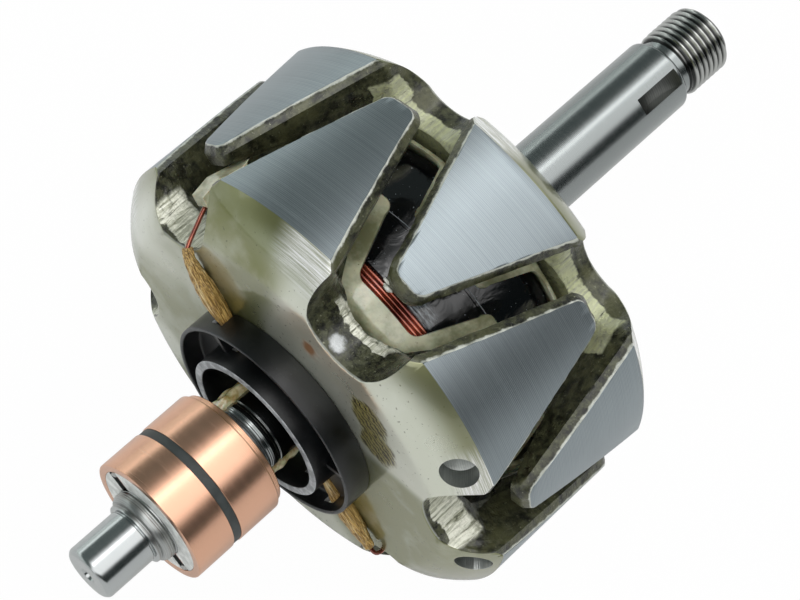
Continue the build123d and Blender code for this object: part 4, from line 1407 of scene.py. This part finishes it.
def resample(path, step):
    """The same path with points a set step apart."""
    ways = [0.0]
    for a, b in zip(path, path[1:]):
        ways.append(ways[-1] + (b - a).length)
    count = max(4, int(ways[-1] / step))
    out = []
    for k in range(count + 1):
        way = ways[-1] * k / count
        i = max(0, min(len(path) - 2, int(np.searchsorted(ways, way)) - 1))
        t = (way - ways[i]) / max(ways[i + 1] - ways[i], 1e-9)
        out.append(path[i].lerp(path[i + 1], t))
    return out


def tube(name, path, radius_at, materials, sides=16):
    """Closed tube round a path; radius_at gives the radius from the share of the way and the angle."""
    points = []
    normal = None
    count = len(path)
    for k, here in enumerate(path):
        way = (path[min(k + 1, count - 1)] - path[max(k - 1, 0)]).normalized()
        if normal is None:
            normal = way.orthogonal().normalized()
        normal = (normal - way * normal.dot(way)).normalized()
        side = way.cross(normal)
        for j in range(sides):
            turn = 2 * pi * j / sides
            r = radius_at(k / (count - 1), turn)
            points.append(tuple(here + (normal * cos(turn) + side * sin(turn)) * r))
    faces = grid_faces(count, sides, closed=True)
    faces += [tuple(range(sides)), tuple(range(len(points) - 1, len(points) - sides - 1, -1))]
    return make_object(name, points, faces, materials, crease=60)


LEAD_PLANE = SLIP_FACE - 0.05 - 1.55
GROOVE_END = -90.57
start_route = [
    at(33.4, 134.0, -41.9), at(40.5, 132.0, -43.6), at(44.6, 126.5, -47.6), at(40.3, 126.8, -54.9),
    at(39.0, 126.8, LEAD_PLANE), at(14.0, START_LEAD, LEAD_PLANE), at(7.0, START_GROOVE, LEAD_PLANE),
    at(7.0, START_GROOVE, GROOVE_END), at(10.9, START_GROOVE, GROOVE_END),
]
finish_route = [
    at(33.4, -50.0, -41.9), at(39.6, -50.0, -41.9), at(39.6, -47.5, LEAD_PLANE),
    at(14.0, FINISH_LEAD, LEAD_PLANE), at(7.0, FINISH_GROOVE, LEAD_PLANE),
    at(7.0, FINISH_GROOVE, GROOVE_END), at(10.9, FINISH_GROOVE, GROOVE_END),
]
for name, route in (("start", start_route), ("finish", finish_route)):
    path = resample(smooth_route(route), 0.5)
    lead = tube(f"lead_{name}_wire", path, lambda share, turn: WIRE_R, [enamel], sides=12)
    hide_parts(f"lead_{name}")
start_sleeve = [
    at(18.2, 125.1, LEAD_PLANE), at(30.0, 125.8, LEAD_PLANE - 0.3), at(37.6, 126.7, LEAD_PLANE),
    at(39.8, 126.9, LEAD_PLANE + 1.0),
]
finish_sleeve = [at(18.2, -46.6, LEAD_PLANE), at(30.0, -46.9, LEAD_PLANE), at(36.9, -47.3, LEAD_PLANE)]
for name, route, material in (
    ("start", start_sleeve, sleeve_glass_start),
    ("finish", finish_sleeve, sleeve_glass_finish),
):
    path = resample(smooth_route(route, 2.4), 0.35)
    seed = len(name)

    def sleeve_radius(share, turn):
        fray = 0.12 * noise.noise(Vector((share * 9, cos(turn) * 2 + seed, sin(turn) * 2)))
        strands = 0.05 * sin(turn * 14 + share * 26) + 0.05 * sin(turn * 14 - share * 26)
        belly = 1.0 * sin(pi * share) ** 1.5
        return 0.95 + belly + fray + strands

    sleeve = tube(f"sleeve_{name}_woven", path, sleeve_radius, [material], sides=72)
    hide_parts(f"sleeve_{name}")
print("leads and sleeves ready")


# %% [markdown]
# The resin in the neck grooves was brushed on, so its top is uneven and a little proud of the steel.

# %% Resin and solder
def blob(name, place_of, across, along, height, material, node, seed):
    """Low mound on a curved surface: place_of gives a point from across, along and lift in millimetres."""
    rows, columns = 36, 22
    points = []
    for i in range(rows):
        for j in range(columns):
            u = (j / (columns - 1)) * 2 - 1
            v = (i / (rows - 1)) * 2 - 1
            edge = 1 - 0.08 * (1 + noise.noise(Vector((u * 2 + seed, v * 3, seed))))
            fall = max(0.0, 1 - (abs(u) ** 5 + abs(v) ** 5)) ** 0.5
            lift = height * fall * (0.85 + 0.25 * noise.noise(Vector((u * 1.6, v * 3, seed + 4))))
            points.append(place_of(u * across * edge, v * along * edge, lift))
    made = make_object(name, points, grid_faces(rows, columns), [material], crease=70)
    thick = made.modifiers.new("thick", "SOLIDIFY")
    thick.thickness = 0.4 * MM
    thick.offset = -1
    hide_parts(node)
    return made


for name, angle in (("start", START_GROOVE), ("finish", FINISH_GROOVE)):
    def neck_place(u, v, lift, angle=angle):
        return at(7.35 + lift, angle + degrees(u / NECK_R), -62.6 + v)

    seed = 2.0 + angle / 100
    node = f"channel_resin_{name}"
    blob(f"resin_in_groove_{name}", neck_place, 2.5, 6.9, 2.5, neck_resin, node, seed)
for name, angle in (("outer", START_GROOVE), ("inner", FINISH_GROOVE)):
    def solder_place(u, v, lift, angle=angle):
        out = Vector(at(11.65, angle, CARRIER_FRONT + 0.5))
        radial, side = directions(angle)
        return tuple(out + side * u + radial * v + Vector((0, -lift, 0)))

    seed = 5.0 + angle / 100
    node = f"solder_{name}"
    blob(f"solder_{name}_joint", solder_place, 1.1, 0.65, 0.7, tin_solder, node, seed)
print("resin and solder ready")

# %% [markdown]
# A tongue of the former stands up in one notch and holds the start lead off the iron. Where the resin ran
# out of the brush it left a row of small bits on the film and a blob at one claw's tip.

# %% Lead tongue and resin bits
# the tongue's outline as (radius, station)
tongue_line = [
    (38.2, -40.6), (41.5, -40.2), (47.0, -37.0), (47.4, -36.4), (46.9, -38.5), (48.2, -44.4), (47.3, -48.8),
    (44.6, -48.9), (43.4, -45.5), (38.6, -43.4),
]
points = []
for turn_at, shift in ((123.4, 0.0), (125.0, 0.25), (127.2, 0.3), (128.4, 0.0)):
    for r, y in tongue_line:
        points.append(at(r - shift * 0.4, turn_at + 0.5 * ridge(y, 3.0, 2.0), y + shift))
count = len(tongue_line)
faces = grid_faces(4, count, closed=True)
faces += [tuple(range(count)), tuple(range(4 * count - 1, 3 * count - 1, -1))]
tongue = make_object("former_lead_tongue", points, faces, [former_nylon])
bevel = tongue.modifiers.new("edges", "BEVEL")
bevel.width = 0.25 * MM
bevel.segments = 2
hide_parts("coil_former")

# each bit as (radius, angle, station, size, height against its size)
bits = []
for k in range(9):
    share = k / 8
    angle = 64.2 - 5.8 * share + 0.5 * ridge(k, 1.3, 5.0)
    bits.append((34.1, angle, -32.6 + 7.2 * share, 0.26 + 0.12 * abs(ridge(k, 1.7, 6.0)), 0.5))
bits.append((48.0, DRIVE_CLAW_ANGLE + 62.4, -41.3, 0.5, 0.8))
bits.append((49.2, DRIVE_CLAW_ANGLE + 63.4, -41.0, 0.35, 0.7))
points, faces = [], []
along = Vector((0, 1, 0))
for r, angle, y, size, tall in bits:
    centre = Vector(at(r, angle, y))
    outward = directions(angle)[0]
    side = along.cross(outward)
    base = len(points)
    for i in range(9):
        up = pi * i / 8
        for j in range(14):
            around = 2 * pi * j / 14
            flat = side * sin(up) * cos(around) * size * 2.2 + along * sin(up) * sin(around) * size
            local = flat + outward * cos(up) * tall * size * 1.6
            points.append(tuple(centre + local * (1 + 0.35 * noise.noise((centre + local) * 2.3))))
    faces += grid_faces(9, 14, base, closed=True)
resin_bits = make_object("resin_bits", points, faces, [resin_white], crease=80)
print(len(bits), "bits of resin")

# %% [markdown]
# The core and the copper strip stay as their plain solids, because they are hidden inside, but they
# get their own materials too.

# %% Materials on the solids that stay
for node, material in (("pole_core", core_iron), ("ring_strip", ring_copper)):
    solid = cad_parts[node]
    solid.data.materials.clear()
    solid.data.materials.append(material)
print("solids that stay: pole_core, ring_strip")

# %% [markdown]
# ## Floor, light and camera
# The photograph is cut out on white. The floor is white to the camera and keeps a faint shadow. The
# world is a soft studio, and turned metal shows it as broad bands: one wide white window from the right
# to overhead, dark to both sides of it, and pale again low on the left and below. Two faint strips lie
# over the shaft and beside it.

# %% Floor
bpy.ops.mesh.primitive_plane_add(size=6.0, location=(0, 0, -0.0533))
floor = bpy.context.object
floor.name = "floor"
floor_paint, tree, place = start("white_floor")
path_info = add(tree, "ShaderNodeLightPath")
matt = add(tree, "ShaderNodeBsdfDiffuse", {"Color": (0.8, 0.8, 0.8, 1)})
glow = add(tree, "ShaderNodeEmission", {"Color": (1, 1, 1, 1), "Strength": 1.0})
share = times(tree, path_info.outputs["Is Camera Ray"], 0.98)
mixed = add(tree, "ShaderNodeMixShader", {0: share, 1: matt.outputs[0], 2: glow.outputs[0]})
finish_material(tree, mixed)
floor.data.materials.append(floor_paint)

# %% World and lamps
world = bpy.data.worlds.new("studio")
bpy.context.scene.world = world
world.use_nodes = True
tree = world.node_tree
tree.nodes.clear()
way = add(tree, "ShaderNodeTexCoord").outputs["Generated"]
split = add(tree, "ShaderNodeSeparateXYZ", {0: way})
path_info = add(tree, "ShaderNodeLightPath")
# height is the angle about the shaft's way, from 0 on the right over 90 overhead to 180 on the left
height = math_node(tree, "ARCTAN2", split.outputs["Z"], split.outputs["X"])


def rise(low, high):
    """0 before one angle in degrees and 1 past the other."""
    return step_up(tree, height, radians(low), radians(high))


window = times(tree, rise(28, 42), rise(108, 86))
sky = blend(tree, rise(90, 115), colour("#232929"), colour("#525a59"))
sky = blend(tree, rise(146, 172), sky, colour("#c3cac8"))
below = step_up(tree, split.outputs["Z"], -0.10, -0.45)
sky = blend(tree, below, sky, colour("#cfd4d2"))
sky = blend(tree, window, sky, colour("#ffffff"))
dim = add(tree, "ShaderNodeBackground", {"Color": sky, "Strength": 1.6})
white = add(tree, "ShaderNodeBackground", {"Color": (1, 1, 1, 1), "Strength": 1.0})
seen = larger(tree, path_info.outputs["Is Camera Ray"], path_info.outputs["Is Transmission Ray"])
mixed = add(tree, "ShaderNodeMixShader", {0: seen, 1: dim.outputs[0], 2: white.outputs[0]})
add(tree, "ShaderNodeOutputWorld", {"Surface": mixed.outputs[0]})


def strip_light(name, place, tilt, width, length, power, tone="#ffffff"):
    """Soft strip that hangs along the shaft's way and is tilted about it."""
    data = bpy.data.lights.new(name, "AREA")
    data.shape = "RECTANGLE"
    data.size = width
    data.size_y = length
    data.energy = power
    data.color = colour(tone)[:3]
    lamp = bpy.data.objects.new(name, data)
    lamp.location = place
    lamp.rotation_euler = (0, radians(tilt), 0)
    bpy.context.collection.objects.link(lamp)
    return lamp


strip_light("top_strip", (0.10, 0.25, 0.90), 6, 0.16, 1.6, 1.6)
strip_light("left_strip", (-0.80, 0.10, 0.35), -66, 0.14, 1.6, 0.9, "#f6fbf9")

# %% Camera
camera_data = bpy.data.cameras.new("camera")
camera_data.lens = 104.88
camera_data.sensor_width = 36.0
camera_data.clip_start = 0.01
camera = bpy.data.objects.new("camera", camera_data)
right = Vector((0.71667, 0.69740, 0.0))
down = Vector((0.59608, -0.61257, -0.51907))
view = Vector((-0.36200, 0.37201, -0.85472))
turn = Matrix((right, -down, -view)).transposed()
camera.matrix_world = Matrix.Translation((0.17170, -0.19847, 0.40595)) @ turn.to_4x4()
bpy.context.collection.objects.link(camera)
bpy.context.scene.camera = camera
bpy.context.scene.view_settings.view_transform = "Standard"
